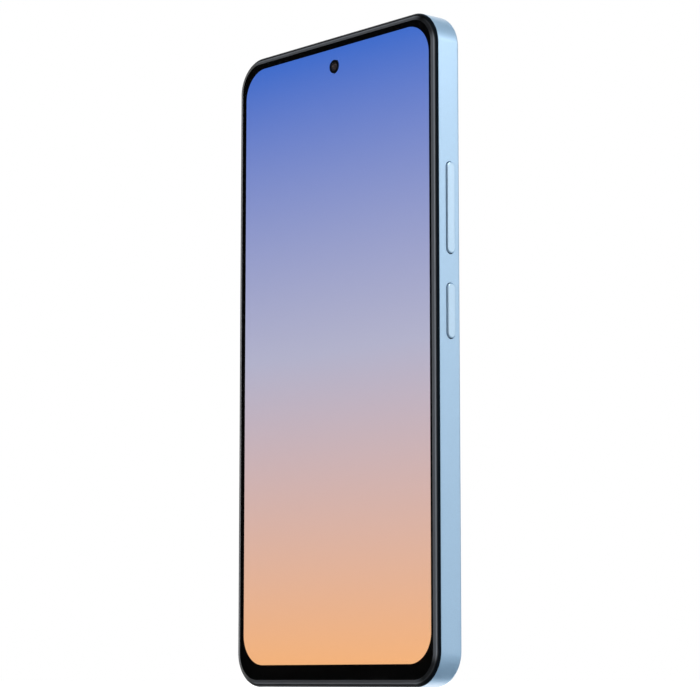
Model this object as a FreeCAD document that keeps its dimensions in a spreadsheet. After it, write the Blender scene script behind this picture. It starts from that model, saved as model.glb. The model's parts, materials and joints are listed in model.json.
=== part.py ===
import FreeCAD, Part
import math
import os
import Sketcher

# Smartphone, millimetres.  +Z is up along the screen, the screen faces -Y, and the keys are on +X.
# The origin is the middle of the charging port's mouth, level with the bottom edge.  The keys, the card
# tray and the ports all lie on the plane y = 0, which is a little behind the middle of the thickness.

SIZES = [
    ("body_width", 74.95, "width of the side frame, without the keys"),
    ("body_height", 161.11, "height of the side frame"),
    ("body_depth", 7.98, "front of the glass to the back of the rear cover"),
    ("corner_radius", 8.5, "outer corners of the side frame"),
    ("glass_thickness", 0.70, "cover glass"),
    ("glass_slope_width", 1.20, "how far the curved edge of the glass reaches inwards"),
    ("glass_slope_drop", 0.55, "how far that edge falls below the flat front"),
    ("rim_width", 0.45, "dark rim round the glass"),
    ("rim_drop", 0.42, "from the crest of the rim to the front of the side frame"),
    ("rim_inset", 0.035, "from the side of the frame in to the foot of the rim"),
    ("glass_gap", 0.03, "clearance round the glass"),
    ("border_side", 2.755, "side of the frame to the lit area of the screen"),
    ("border_top", 3.06, "top of the frame to the lit area"),
    ("border_bottom", 5.40, "bottom of the frame to the lit area"),
    ("panel_margin", 0.60, "unlit edge of the panel at its sides and top"),
    ("panel_chin", 2.50, "unlit edge of the panel at its bottom"),
    ("panel_radius", 7.0, "corners of the panel"),
    ("panel_thickness", 1.10, "display panel with its backing"),
    ("panel_gap", 0.10, "clearance round the panel"),
    ("frame_lip", 1.00, "wall of the side frame round the front recess"),
    ("frame_wall", 1.80, "wall of the side frame"),
    ("frame_back_round", 1.00, "rounding of the frame's back edge"),
    ("frame_front_round", 0.12, "rounding of the frame's front edge"),
    ("seat_gap", 0.02, "clearance of pieces seated in the frame"),
    ("plate_thickness", 0.50, "middle plate"),
    ("cover_thickness", 0.80, "rear cover"),
    ("cover_inset", 1.30, "side of the frame to the seat of the rear cover"),
    ("cover_gap", 0.05, "clearance round the rear cover"),
    ("cover_edge", 0.15, "chamfer of the rear cover"),
    ("tape_thickness", 0.10, "adhesive tapes"),
    ("opening_shift", 0.55, "middle of the keys, tray and ports, back from mid thickness"),
    ("punch_diameter", 3.85, "hole in the display for the front camera"),
    ("punch_from_top", 7.60, "its middle below the top of the frame"),
    ("nose_diameter", 3.40, "nose of the front camera"),
    ("nose_clearance", 0.40, "round the nose in the middle plate"),
    ("front_camera_size", 6.00, "front camera module, square"),
    ("front_camera_depth", 3.90, "front camera module"),
    ("front_lens_diameter", 2.30, "front camera lens"),
    ("front_lens_thickness", 0.35, "front camera lens"),
    ("island_width", 30.0, "raised plate round the rear cameras"),
    ("island_height", 36.0, "raised plate round the rear cameras"),
    ("island_radius", 8.0, "corners of that plate"),
    ("island_thickness", 1.00, "raised plate"),
    ("island_round", 0.35, "rounding of its edge"),
    ("island_across", 19.9, "middle of the plate from mid width"),
    ("island_from_top", 22.4, "middle of the plate below the top of the frame"),
    ("camera_across", 7.10, "cameras to the middle of the plate, sideways"),
    ("camera_along", 9.25, "cameras to the middle of the plate, up and down"),
    ("ring_diameter", 12.8, "rings of the two large cameras"),
    ("ring_bore", 10.6, "windows of the two large cameras"),
    ("small_ring_diameter", 8.4, "ring of the close-up camera"),
    ("small_ring_bore", 6.4, "window of the close-up camera"),
    ("ring_rise", 0.60, "rings above the raised plate"),
    ("ring_ledge", 0.50, "ledge that a window rests on"),
    ("ring_gap", 0.10, "clearance round the rings"),
    ("window_thickness", 0.50, "camera windows"),
    ("window_sink", 0.25, "windows below the top of their rings"),
    ("main_camera_size", 11.0, "main camera housing, square"),
    ("camera_depth", 4.70, "main and wide camera housings"),
    ("barrel_diameter", 7.40, "moving lens barrel"),
    ("barrel_clearance", 0.30, "round the barrel"),
    ("barrel_length", 3.20, "moving lens barrel"),
    ("barrel_lift", 0.45, "barrel above the floor of its well"),
    ("barrel_wall", 1.00, "barrel round its glass"),
    ("lens_thickness", 0.60, "main camera lens"),
    ("well_floor", 1.60, "floor of the barrel's well"),
    ("wide_camera_size", 9.50, "wide camera module, square"),
    ("close_camera_size", 6.50, "close-up camera module, square"),
    ("flash_diameter", 5.00, "flash lens"),
    ("flash_led_size", 3.00, "flash LED, square"),
    ("flash_led_height", 0.42, "flash LED"),
    ("key_width", 2.40, "keys, across the thickness"),
    ("key_rise", 0.40, "keys above the side of the frame"),
    ("key_gap", 0.12, "clearance round the keys"),
    ("key_end_gap", 0.18, "clearance at the ends of the keys"),
    ("key_round", 0.25, "rounding of the key tops"),
    ("power_length", 13.0, "power key"),
    ("power_height", 88.1, "middle of the power key above the bottom"),
    ("volume_length", 21.9, "volume key"),
    ("volume_height", 112.85, "middle of the volume key above the bottom"),
    ("flange_thickness", 0.40, "flange that holds a key in"),
    ("flange_margin", 0.55, "flange beyond the key"),
    ("flange_gap", 0.30, "volume key's flange to the wall"),
    ("fulcrum_height", 1.00, "ridge that the volume key rocks on"),
    ("rest_gap", 0.05, "pieces that rest lightly on each other"),
    ("nub_diameter", 1.60, "nubs that press the switch domes"),
    ("nub_length", 0.50, "nubs"),
    ("nub_spacing", 7.20, "volume nubs from the middle of the key"),
    ("dome_diameter", 2.60, "switch domes"),
    ("dome_height", 0.38, "switch domes"),
    ("flex_thickness", 0.12, "flexible circuits"),
    ("carrier_thickness", 0.30, "steel strip behind the key switches"),
    ("carrier_end", 1.60, "strip beyond the keys"),
    ("carrier_width", 2.40, "strip, either side of the key line"),
    ("tray_height", 134.0, "middle of the card tray above the bottom"),
    ("tray_head_length", 16.60, "outer face of the tray"),
    ("tray_head_width", 2.00, "outer face of the tray"),
    ("tray_head_depth", 1.60, "tray head, through the wall"),
    ("tray_gap", 0.10, "clearance round the tray head"),
    ("tray_width", 15.00, "card carrier"),
    ("tray_thickness", 1.20, "card carrier"),
    ("tray_length", 20.20, "card carrier, behind its head"),
    ("card_width", 12.40, "pockets for two small cards"),
    ("card_depth", 8.90, "pockets for two small cards"),
    ("card_pocket_wall", 0.80, "bar between the pockets"),
    ("card_ledge", 0.60, "ledge that the cards rest on"),
    ("card_thickness", 0.70, "pockets for two small cards"),
    ("seal_width", 0.50, "rubber seal on the tray head"),
    ("seal_depth", 0.30, "groove of that seal"),
    ("seal_back", 0.70, "seal behind the outer face"),
    ("seal_clearance", 0.05, "seal inside the wall opening"),
    ("slide_gap", 0.15, "card carrier in its reader"),
    ("reader_wall", 0.20, "steel shell of the card reader"),
    ("reader_side", 0.80, "side rails of the card reader"),
    ("reader_length", 19.00, "card reader"),
    ("reader_gap", 1.075, "from the frame's inner wall to the card reader"),
    ("pin_diameter", 1.00, "hole for the eject pin"),
    ("pin_spacing", 10.40, "eject hole below the middle of the tray"),
    ("rod_diameter", 0.90, "eject rod"),
    ("rod_gap", 0.30, "eject rod to the wall"),
    ("rod_length", 22.30, "eject rod"),
    ("rod_guide", 1.80, "guide blocks of the rod"),
    ("rod_fit", 0.06, "clearance of the rod in its guides"),
    ("lever_width", 1.20, "eject lever"),
    ("lever_thickness", 0.60, "eject lever"),
    ("lever_gap", 0.20, "eject rod to the lever"),
    ("lever_arm", 5.00, "pivot to the line of the rod"),
    ("lever_reach", 5.20, "pivot to the far end of the lever"),
    ("pivot_diameter", 1.00, "pivot of the lever"),
    ("pivot_fit", 0.04, "clearance of the lever on its pivot"),
    ("pivot_head", 1.60, "head of the pivot"),
    ("pivot_head_height", 0.25, "head of the pivot"),
    ("board_thickness", 0.80, "circuit boards"),
    ("board_standoff", 0.40, "boards above the middle plate"),
    ("board_corner", 3.50, "corners of the boards and brackets"),
    ("board_inset", 4.08, "side of the frame to the edge of the main board"),
    ("main_board_bottom", 114.3, "lower edge of the main board above the bottom"),
    ("main_board_from_top", 2.90, "upper edge of the main board below the top"),
    ("board_clearance", 0.40, "cut-outs of the boards"),
    ("can_height", 1.60, "shield cans"),
    ("can_wall", 0.20, "shield cans"),
    ("bracket_thickness", 0.75, "plastic brackets over the boards"),
    ("bracket_level", 1.50, "front of the brackets, back from the line of the openings"),
    ("upper_bracket_bottom", 118.0, "lower edge of the upper bracket"),
    ("lower_bracket_top", 15.5, "upper edge of the lower bracket"),
    ("post_diameter", 3.20, "posts of the brackets"),
    ("boss_diameter", 3.00, "threaded bosses of the middle plate"),
    ("screw_diameter", 1.40, "screws"),
    ("screw_clearance", 0.10, "round the screws"),
    ("screw_head_diameter", 2.50, "screw heads"),
    ("screw_head_height", 0.25, "screw heads"),
    ("battery_left", 32.50, "battery, from mid width"),
    ("battery_right", 32.00, "battery, from mid width"),
    ("battery_bottom", 24.60, "battery above the bottom"),
    ("battery_height", 87.80, "battery"),
    ("battery_thickness", 4.20, "battery"),
    ("battery_radius", 3.00, "corners of the battery"),
    ("battery_tape_width", 20.0, "strips that hold the battery"),
    ("port_width", 8.94, "charging port shell"),
    ("port_height", 3.26, "charging port shell"),
    ("port_depth", 7.60, "charging port shell"),
    ("port_wall", 0.30, "charging port shell"),
    ("port_recess", 0.40, "port behind the bottom edge"),
    ("port_gap", 0.10, "clearance of the port in the wall"),
    ("tongue_width", 6.69, "contact tongue of the port"),
    ("tongue_thickness", 0.70, "contact tongue of the port"),
    ("tongue_recess", 0.80, "tongue behind the mouth of the port"),
    ("port_back", 1.60, "insulating block behind the tongue"),
    ("jack_diameter", 3.60, "headphone jack, inside"),
    ("jack_collar", 4.30, "collar of the jack in the wall"),
    ("jack_depth", 14.00, "headphone jack, inside"),
    ("jack_width", 6.40, "headphone jack body"),
    ("jack_thickness", 4.40, "headphone jack body"),
    ("jack_end", 0.60, "closed end of the jack"),
    ("jack_across", -22.0, "jack from mid width"),
    ("sound_hole", 1.60, "loudspeaker holes"),
    ("sound_pitch", 3.00, "loudspeaker holes"),
    ("sound_start", 15.60, "first loudspeaker hole from mid width"),
    ("mic_hole", 1.00, "microphone holes"),
    ("bottom_mic_across", -12.0, "bottom microphone from mid width"),
    ("top_mic_across", 6.50, "top microphone from mid width"),
    ("mic_size", 2.80, "microphones"),
    ("mic_height", 1.00, "microphones"),
    ("infrared_across", 14.5, "infrared window from mid width"),
    ("infrared_diameter", 2.20, "infrared window"),
    ("earpiece_slit_length", 13.0, "slit above the glass"),
    ("earpiece_slit_reach", 0.24, "slit beyond the glass"),
    ("earpiece_width", 13.0, "earpiece speaker"),
    ("earpiece_height", 7.00, "earpiece speaker"),
    ("earpiece_depth", 2.90, "earpiece speaker"),
    ("earpiece_across", -10.5, "earpiece from mid width"),
    ("earpiece_bottom", 150.5, "earpiece above the bottom"),
    ("channel_width", 1.10, "sound channel of the earpiece"),
    ("mesh_thickness", 0.20, "dust meshes"),
    ("mesh_margin", 0.40, "loudspeaker mesh beyond its holes"),
    ("speaker_left", 13.20, "loudspeaker box from mid width"),
    ("speaker_width", 20.40, "loudspeaker box"),
    ("speaker_height", 19.20, "loudspeaker box"),
    ("speaker_depth", 4.20, "loudspeaker box"),
    ("speaker_corner", 5.00, "corners of the loudspeaker box"),
    ("speaker_wall", 0.70, "loudspeaker box"),
    ("speaker_floor", 0.30, "loudspeaker box"),
    ("lid_thickness", 0.40, "loudspeaker lid"),
    ("magnet_width", 9.00, "loudspeaker magnet"),
    ("magnet_height", 7.00, "loudspeaker magnet"),
    ("magnet_depth", 1.70, "loudspeaker magnet"),
    ("coil_gap", 0.50, "magnet to the voice coil"),
    ("coil_wall", 0.60, "voice coil"),
    ("coil_depth", 1.60, "voice coil"),
    ("cone_margin", 0.65, "diaphragm beyond the coil"),
    ("cone_thickness", 0.15, "diaphragm"),
    ("surround_width", 1.50, "rubber surround of the diaphragm"),
    ("surround_thickness", 0.12, "rubber surround of the diaphragm"),
    ("basket_wall", 1.10, "wall under the surround"),
    ("basket_height", 2.39, "wall under the surround"),
    ("motor_radius", 1.70, "vibration motor"),
    ("motor_length", 8.50, "vibration motor"),
    ("motor_left", -31.0, "left end of the motor from mid width"),
    ("motor_height", 11.0, "motor axis above the bottom"),
    ("shaft_radius", 0.35, "motor shaft"),
    ("shaft_fit", 0.05, "clearance of the shaft in its bearing"),
    ("shaft_inside", 5.50, "shaft inside the motor"),
    ("shaft_outside", 3.60, "shaft outside the motor"),
    ("weight_radius", 1.55, "off-centre weight"),
    ("weight_hub", 0.80, "hub of the weight"),
    ("weight_length", 2.80, "off-centre weight"),
    ("weight_gap", 0.40, "motor to the weight"),
    ("boot_length", 6.00, "rubber boot of the motor"),
    ("boot_width", 5.20, "rubber boot of the motor"),
    ("boot_height", 1.30, "rubber boot of the motor"),
    ("boot_floor", 0.15, "rubber under the motor"),
    ("lower_board_left", 16.5, "lower board from mid width"),
    ("lower_board_right", 12.0, "lower board from mid width"),
    ("lower_board_bottom", 2.40, "lower board above the bottom"),
    ("lower_board_top", 21.0, "lower board above the bottom"),
    ("ribbon_width", 10.0, "flexible circuits"),
    ("main_ribbon_across", 4.00, "main flexible circuit from mid width"),
    ("display_ribbon_across", -9.00, "display flexible circuit from mid width"),
    ("connector_width", 8.00, "board connectors"),
    ("connector_length", 2.20, "board connectors"),
    ("connector_height", 0.80, "board connectors"),
    ("lower_connector_height", 17.3, "lower connectors above the bottom"),
    ("upper_connector_height", 116.5, "upper connector above the bottom"),
    ("ribbon_slot", 2.60, "slot in the middle plate for the display circuit"),
    ("ribbon_slot_height", 22.4, "middle of that slot above the bottom"),
    ("cable_radius", 0.40, "aerial cable"),
    ("cable_bend", 2.50, "bends of the aerial cable"),
    ("cable_across", -34.1, "cable from mid width"),
    ("cable_bottom", 19.7, "lower run of the cable"),
    ("cable_top", 116.6, "upper run of the cable"),
    ("cable_start", -15.4, "lower end of the cable"),
    ("cable_end", -30.4, "upper end of the cable"),
    ("plug_diameter", 2.00, "aerial sockets on the boards"),
    ("plug_height", 0.14, "aerial sockets on the boards"),
]

# Screws as (across, height, whether a board lies under the bracket there).
UPPER_SCREWS = [(-24.0, 119.9), (14.0, 119.9), (-29.8, 145.6), (-11.0, 146.8), (27.0, 138.6), (6.5, 147.5)]
LOWER_BOARD_SCREWS = [(-14.0, 11.5), (9.8, 11.5)]
MOTOR_SIDE_SCREW = (-26.0, 5.6)

# Shield cans on the main board as (left, right, bottom, top).
SHIELD_CANS = [(-8.5, 19.0, 122.4, 143.4), (-33.0, -26.4, 148.0, 157.4), (9.4, 20.2, 152.8, 157.4)]

PLANE_SIGN = {"XY": 1, "XZ": -1, "YZ": 1}

doc = FreeCAD.newDocument("smartphone")
sheet = doc.addObject("Spreadsheet::Sheet", "dims")


class Size:
    """A number together with the spreadsheet formula that gives it."""

    def __init__(self, value, formula):
        self.value = value
        self.formula = formula

    def join(self, sign, other, value):
        return Size(value, "(%s %s %s)" % (self.formula, sign, other.formula))

    def __add__(self, other):
        other = as_size(other)
        return self.join("+", other, self.value + other.value)

    def __sub__(self, other):
        other = as_size(other)
        return self.join("-", other, self.value - other.value)

    def __mul__(self, other):
        other = as_size(other)
        return self.join("*", other, self.value * other.value)

    def __truediv__(self, other):
        other = as_size(other)
        return self.join("/", other, self.value / other.value)

    def __radd__(self, other):
        return as_size(other) + self

    def __rsub__(self, other):
        return as_size(other) - self

    def __rmul__(self, other):
        return as_size(other) * self

    def __neg__(self):
        return as_size(0) - self


def as_size(number):
    if isinstance(number, Size):
        return number
    return Size(float(number), "%.6g" % number)


class Sizes:
    """The driving sizes, each readable by its name."""


D = Sizes()
for row, (alias, number, meaning) in enumerate(SIZES, start=1):
    sheet.set("A%d" % row, meaning)
    sheet.set("B%d" % row, str(number))
    sheet.setAlias("B%d" % row, alias)
    setattr(D, alias, Size(float(number), "dims." + alias))
doc.recompute()


def bind(thing, path, size):
    """Ties a property or constraint of a document object to the spreadsheet."""
    thing.setExpression(path, as_size(size).formula)


def vector(x=0.0, y=0.0, z=0.0):
    return FreeCAD.Vector(x, y, z)


# ---- outlines -------------------------------------------------------------------------------------

def constrain(sketch, kind, *where, size=None):
    """Adds one constraint and ties it to its size, if it has one."""
    if size is None:
        sketch.addConstraint(Sketcher.Constraint(kind, *where))
        return
    size = as_size(size)
    index = sketch.addConstraint(Sketcher.Constraint(kind, *where, size.value))
    bind(sketch, "Constraints[%d]" % index, size)


def rounded_rectangle(width, height, radius):
    """Rectangle with round corners, centred on the sketch's origin."""
    def draw(sketch):
        x = as_size(width).value / 2
        y = as_size(height).value / 2
        r = as_size(radius).value
        line = Part.LineSegment
        shapes = [line(vector(r - x, -y), vector(x - r, -y)), line(vector(x, r - y), vector(x, y - r)),
                  line(vector(x - r, y), vector(r - x, y)), line(vector(-x, y - r), vector(-x, r - y))]
        centres = [(x - r, r - y), (x - r, y - r), (r - x, y - r), (r - x, r - y)]
        for turn, (across, up) in enumerate(centres):
            start = math.radians(90 * turn - 90)
            circle = Part.Circle(vector(across, up), vector(0, 0, 1), r)
            shapes.append(Part.ArcOfCircle(circle, start, start + math.pi / 2))
        sketch.addGeometry(shapes, False)
        for side in range(4):
            corner = 4 + side
            constrain(sketch, "Tangent", side, 2, corner, 1)
            constrain(sketch, "Tangent", corner, 2, (side + 1) % 4, 1)
            constrain(sketch, "Horizontal" if side % 2 == 0 else "Vertical", side)
        for corner in (5, 6, 7):
            constrain(sketch, "Equal", 4, corner)
        constrain(sketch, "Symmetric", 0, 1, 2, 1, -1, 1)
        constrain(sketch, "Radius", 4, size=radius)
        constrain(sketch, "DistanceX", 3, 1, 1, 1, size=width)
        constrain(sketch, "DistanceY", 0, 1, 2, 1, size=height)
    return draw


def polygon(points):
    """Closed outline whose corners are each placed from the sketch's origin."""
    def draw(sketch):
        corners = [(as_size(across), as_size(up)) for across, up in points]
        count = len(corners)
        for number in range(count):
            start = corners[number]
            end = corners[(number + 1) % count]
            first = vector(start[0].value, start[1].value)
            last = vector(end[0].value, end[1].value)
            sketch.addGeometry(Part.LineSegment(first, last), False)
        for number in range(count):
            constrain(sketch, "Coincident", number, 2, (number + 1) % count, 1)
        for number, (across, up) in enumerate(corners):
            constrain(sketch, "DistanceX", -1, 1, number, 1, size=across)
            constrain(sketch, "DistanceY", -1, 1, number, 1, size=up)
    return draw


def rectangle(width, height):
    """Rectangle with sharp corners, centred on the sketch's origin."""
    x = as_size(width) / 2
    y = as_size(height) / 2
    return polygon([(-x, -y), (x, -y), (x, y), (-x, y)])


def circle(diameter):
    """Circle centred on the sketch's origin."""
    def draw(sketch):
        shape = Part.Circle(vector(), vector(0, 0, 1), as_size(diameter).value / 2)
        index = sketch.addGeometry(shape, False)
        constrain(sketch, "Coincident", index, 3, -1, 1)
        constrain(sketch, "Diameter", index, size=diameter)
    return draw


def upright_slot(length, width):
    """Slot with round ends, long in the sketch's second direction."""
    def draw(sketch):
        r = as_size(width).value / 2
        y = as_size(length).value / 2 - r
        top = Part.Circle(vector(0, y), vector(0, 0, 1), r)
        bottom = Part.Circle(vector(0, -y), vector(0, 0, 1), r)
        sketch.addGeometry([Part.LineSegment(vector(r, -y), vector(r, y)),
                            Part.ArcOfCircle(top, 0, math.pi),
                            Part.LineSegment(vector(-r, y), vector(-r, -y)),
                            Part.ArcOfCircle(bottom, math.pi, 2 * math.pi)], False)
        for number in range(4):
            constrain(sketch, "Tangent", number, 2, (number + 1) % 4, 1)
        constrain(sketch, "Vertical", 0)
        constrain(sketch, "Symmetric", 1, 3, 3, 3, -1, 1)
        constrain(sketch, "Diameter", 1, size=width)
        constrain(sketch, "DistanceY", 3, 3, 1, 3, size=as_size(length) - width)
    return draw


def level_slot(length, width):
    """Slot with round ends, long in the sketch's first direction."""
    def draw(sketch):
        r = as_size(width).value / 2
        x = as_size(length).value / 2 - r
        right = Part.Circle(vector(x), vector(0, 0, 1), r)
        left = Part.Circle(vector(-x), vector(0, 0, 1), r)
        sketch.addGeometry([Part.LineSegment(vector(-x, -r), vector(x, -r)),
                            Part.ArcOfCircle(right, -math.pi / 2, math.pi / 2),
                            Part.LineSegment(vector(x, r), vector(-x, r)),
                            Part.ArcOfCircle(left, math.pi / 2, 3 * math.pi / 2)], False)
        for number in range(4):
            constrain(sketch, "Tangent", number, 2, (number + 1) % 4, 1)
        constrain(sketch, "Horizontal", 0)
        constrain(sketch, "Symmetric", 1, 3, 3, 3, -1, 1)
        constrain(sketch, "Diameter", 1, size=width)
        constrain(sketch, "DistanceX", 3, 3, 1, 3, size=as_size(length) - width)
    return draw


# ---- pieces ---------------------------------------------------------------------------------------

class Piece:
    """A sub-part made as a body of sketches, pads and pockets."""

    def __init__(self, name):
        self.name = name
        self.body = doc.addObject("PartDesign::Body", name)
        self.body.Label = name

    def sketch(self, plane, level, outline, across, up):
        sketch = self.body.newObject("Sketcher::SketchObject", self.name + "_sketch")
        for feature in self.body.Origin.OriginFeatures:
            if feature.Role == plane + "_Plane":
                sketch.AttachmentSupport = (feature, [""])
        sketch.MapMode = "FlatFace"
        bind(sketch, "AttachmentOffset.Base.x", across)
        bind(sketch, "AttachmentOffset.Base.y", up)
        bind(sketch, "AttachmentOffset.Base.z", as_size(level) * PLANE_SIGN[plane])
        outline(sketch)
        return sketch

    def pad(self, plane, level, length, outline, across=0, up=0, towards=1):
        """Adds material from the level along the plane's axis, towards + or -."""
        sketch = self.sketch(plane, level, outline, across, up)
        feature = self.body.newObject("PartDesign::Pad", self.name + "_pad")
        feature.Profile = sketch
        feature.Reversed = towards * PLANE_SIGN[plane] < 0
        bind(feature, "Length", length)
        doc.recompute()
        return self

    def cut(self, plane, level, length, outline, across=0, up=0, towards=1):
        """Removes material from the level along the plane's axis, towards + or -."""
        before = self.body.Shape.Volume
        sketch = self.sketch(plane, level, outline, across, up)
        feature = self.body.newObject("PartDesign::Pocket", self.name + "_cut")
        feature.Profile = sketch
        feature.Reversed = towards * PLANE_SIGN[plane] > 0
        bind(feature, "Length", length)
        doc.recompute()
        if not self.body.Shape.Volume < before:
            raise RuntimeError("a pocket of %s cuts nothing" % self.name)
        return self

    def dress(self, kind, sizes, chosen):
        """Rounds or bevels the edges that a test picks out."""
        base = self.body.Tip
        edges = ["Edge%d" % (number + 1) for number, edge in enumerate(base.Shape.Edges) if chosen(edge)]
        if not edges:
            raise RuntimeError("%s has no edge to dress" % self.name)
        feature = self.body.newObject("PartDesign::" + kind, self.name + "_" + kind.lower())
        feature.Base = (base, edges)
        if "Size2" in sizes:
            feature.ChamferType = "Two distances"
        for path, size in sizes.items():
            bind(feature, path, size)
        doc.recompute()
        return self


def outer_loop(axis, level, x_low, x_high, z_low, z_high):
    """Picks the edges at one level of an axis that run round a rectangle's outside."""
    sides = [as_size(number).value for number in (x_low, x_high, z_low, z_high)]
    place = as_size(level).value

    def chosen(edge):
        box = edge.BoundBox
        flat = abs(getattr(box, axis + "Min") - place) < 1e-4 and abs(getattr(box, axis + "Max") - place) < 1e-4
        reached = [box.XMin - sides[0], box.XMax - sides[1], box.ZMin - sides[2], box.ZMax - sides[3]]
        return flat and min(abs(gap) for gap in reached) < 1e-4
    return chosen


def place(thing, x, y, z):
    bind(thing, "Placement.Base.x", x)
    bind(thing, "Placement.Base.y", y)
    bind(thing, "Placement.Base.z", z)


def block(name, x, y, z):
    """Box between two values of each axis."""
    thing = doc.addObject("Part::Box", name)
    thing.Label = name
    for path, (low, high) in (("Length", x), ("Width", y), ("Height", z)):
        bind(thing, path, as_size(high) - low)
    place(thing, x[0], y[0], z[0])
    return thing


def rod(name, axis, start, radius, length):
    """Cylinder that starts at a point and runs along +X, +Y or +Z."""
    thing = doc.addObject("Part::Cylinder", name)
    thing.Label = name
    turns = {"X": FreeCAD.Rotation(vector(0, 1, 0), 90), "Y": FreeCAD.Rotation(vector(1, 0, 0), -90),
             "Z": FreeCAD.Rotation()}
    thing.Placement = FreeCAD.Placement(vector(), turns[axis])
    bind(thing, "Radius", radius)
    bind(thing, "Height", length)
    place(thing, *start)
    return thing


def take_away(name, base, tool):
    thing = doc.addObject("Part::Cut", name)
    thing.Label = name
    thing.Base = base
    thing.Tool = tool
    return thing


def join(name, *pieces):
    thing = doc.addObject("Part::MultiFuse", name)
    thing.Label = name
    thing.Shapes = list(pieces)
    return thing


def group(name, pieces):
    """Separate solids that share one node."""
    thing = doc.addObject("Part::Compound", name)
    thing.Label = name
    thing.Links = list(pieces)
    return thing


nodes = {}


def keep(thing):
    """Marks a finished sub-part for export."""
    if isinstance(thing, Piece):
        thing = thing.body
    nodes[thing.Label] = thing
    return thing


# ---- levels shared by the pieces ------------------------------------------------------------------

side = D.body_width / 2
top = D.body_height
middle = D.body_height / 2
opening_line = as_size(0)
front = -D.body_depth / 2 - D.opening_shift
back = D.body_depth / 2 - D.opening_shift
rim_crest = front + D.glass_slope_drop
frame_front = rim_crest + D.rim_drop
glass_back = front + D.glass_thickness
plate_front = glass_back + D.panel_thickness
plate_back = plate_front + D.plate_thickness
board_front = plate_back + D.board_standoff
board_back = board_front + D.board_thickness
cover_front = back - D.cover_thickness
cover_seat = cover_front - D.tape_thickness
island_back = back + D.island_thickness
ring_back = island_back + D.ring_rise
bracket_back = D.bracket_level + D.bracket_thickness
inner_side = side - D.frame_wall

glass_inset = D.rim_inset + D.rim_width
screen_width = D.body_width - 2 * D.border_side
panel_width = screen_width + 2 * D.panel_margin
panel_bottom = D.border_bottom - D.panel_chin
panel_top = top - D.border_top + D.panel_margin
panel_height = panel_top - panel_bottom
panel_middle = (panel_top + panel_bottom) / 2
punch_height = top - D.punch_from_top

island_middle = top - D.island_from_top
large_cameras = [(D.island_across + D.camera_across, island_middle + D.camera_along),
                 (D.island_across + D.camera_across, island_middle - D.camera_along)]
close_camera = (D.island_across - D.camera_across, island_middle + D.camera_along)
flash = (D.island_across - D.camera_across, island_middle - D.camera_along)

reader_floor = opening_line - D.tray_thickness / 2 - D.slide_gap
rod_height = D.tray_height - D.pin_spacing
rod_start = -inner_side + D.rod_gap
rod_end = rod_start + D.rod_length
lever_left = rod_end + D.lever_gap
lever_middle = lever_left + D.lever_width / 2
pivot_height = rod_height + D.lever_arm

flange_back = inner_side - D.rest_gap
nub_tip = flange_back - D.flange_thickness - D.nub_length
dome_top = nub_tip - D.rest_gap
switch_face = dome_top - D.dome_height
carrier_face = switch_face - D.flex_thickness


def inset_outline(inset, gap=0):
    """The body's outline, drawn in by an inset and a gap, with concentric corners."""
    total = as_size(inset) + gap
    return rounded_rectangle(D.body_width - 2 * total, D.body_height - 2 * total, D.corner_radius - total)


# ---- front ----------------------------------------------------------------------------------------

def cover_glass():
    glass = Piece("cover_glass")
    glass.pad("XZ", front, D.glass_thickness, inset_outline(glass_inset), up=middle)
    reach = side - glass_inset
    rim = outer_loop("Y", front, -reach, reach, glass_inset, top - glass_inset)
    corner = D.corner_radius.value
    glass.dress("Chamfer", {"Size": D.glass_slope_drop, "Size2": D.glass_slope_width},
                lambda edge: rim(edge) or (abs(edge.BoundBox.YMax - front.value) < 1e-4
                                           and edge.Length < 2 * corner))
    keep(glass)


def display_panel():
    panel = Piece("display_panel")
    panel.pad("XZ", glass_back, D.panel_thickness,
              rounded_rectangle(panel_width, panel_height, D.panel_radius), up=panel_middle)
    panel.cut("XZ", glass_back, D.panel_thickness, circle(D.punch_diameter), up=punch_height)
    keep(panel)


def front_bezel():
    """Dark rim round the glass, with the ledge that the glass is bonded to."""
    bezel = Piece("front_bezel")
    bezel.pad("XZ", rim_crest, D.rim_drop, inset_outline(D.rim_inset), up=middle)
    reach = side - D.rim_inset
    crest = outer_loop("Y", rim_crest, -reach, reach, D.rim_inset, top - D.rim_inset)
    bezel.dress("Chamfer", {"Size": D.rim_drop - D.seat_gap, "Size2": D.rim_width - D.glass_gap - D.seat_gap},
                lambda edge: crest(edge) or abs(edge.BoundBox.YMax - rim_crest.value) < 1e-4)
    bezel.pad("XZ", frame_front, plate_front - frame_front, inset_outline(D.frame_lip, D.seat_gap), up=middle)
    bezel.cut("XZ", rim_crest, glass_back - rim_crest, inset_outline(glass_inset, -D.glass_gap), up=middle)
    bezel.cut("XZ", glass_back, plate_front - glass_back,
              rounded_rectangle(panel_width + 2 * D.panel_gap, panel_height + 2 * D.panel_gap,
                                D.panel_radius + D.panel_gap), up=panel_middle)
    slit_top = top - glass_inset + D.earpiece_slit_reach
    channel_bottom = panel_top + 3 * D.panel_gap
    slit = slit_top - channel_bottom
    bezel.cut("XZ", rim_crest, glass_back - rim_crest + D.mesh_thickness,
              rectangle(D.earpiece_slit_length, slit), up=(slit_top + channel_bottom) / 2)
    channel = top - D.frame_lip - channel_bottom
    bezel.cut("XZ", glass_back, plate_front - glass_back,
              rectangle(D.earpiece_slit_length, channel), up=channel_bottom + channel / 2)
    keep(bezel)


def earpiece_mesh():
    slit_top = top - glass_inset + D.earpiece_slit_reach
    channel_bottom = panel_top + 3 * D.panel_gap
    half = D.earpiece_slit_length / 2
    keep(block("earpiece_mesh", (-half, half), (glass_back, glass_back + D.mesh_thickness),
               (channel_bottom, slit_top)))


# ---- frame ----------------------------------------------------------------------------------------

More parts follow.
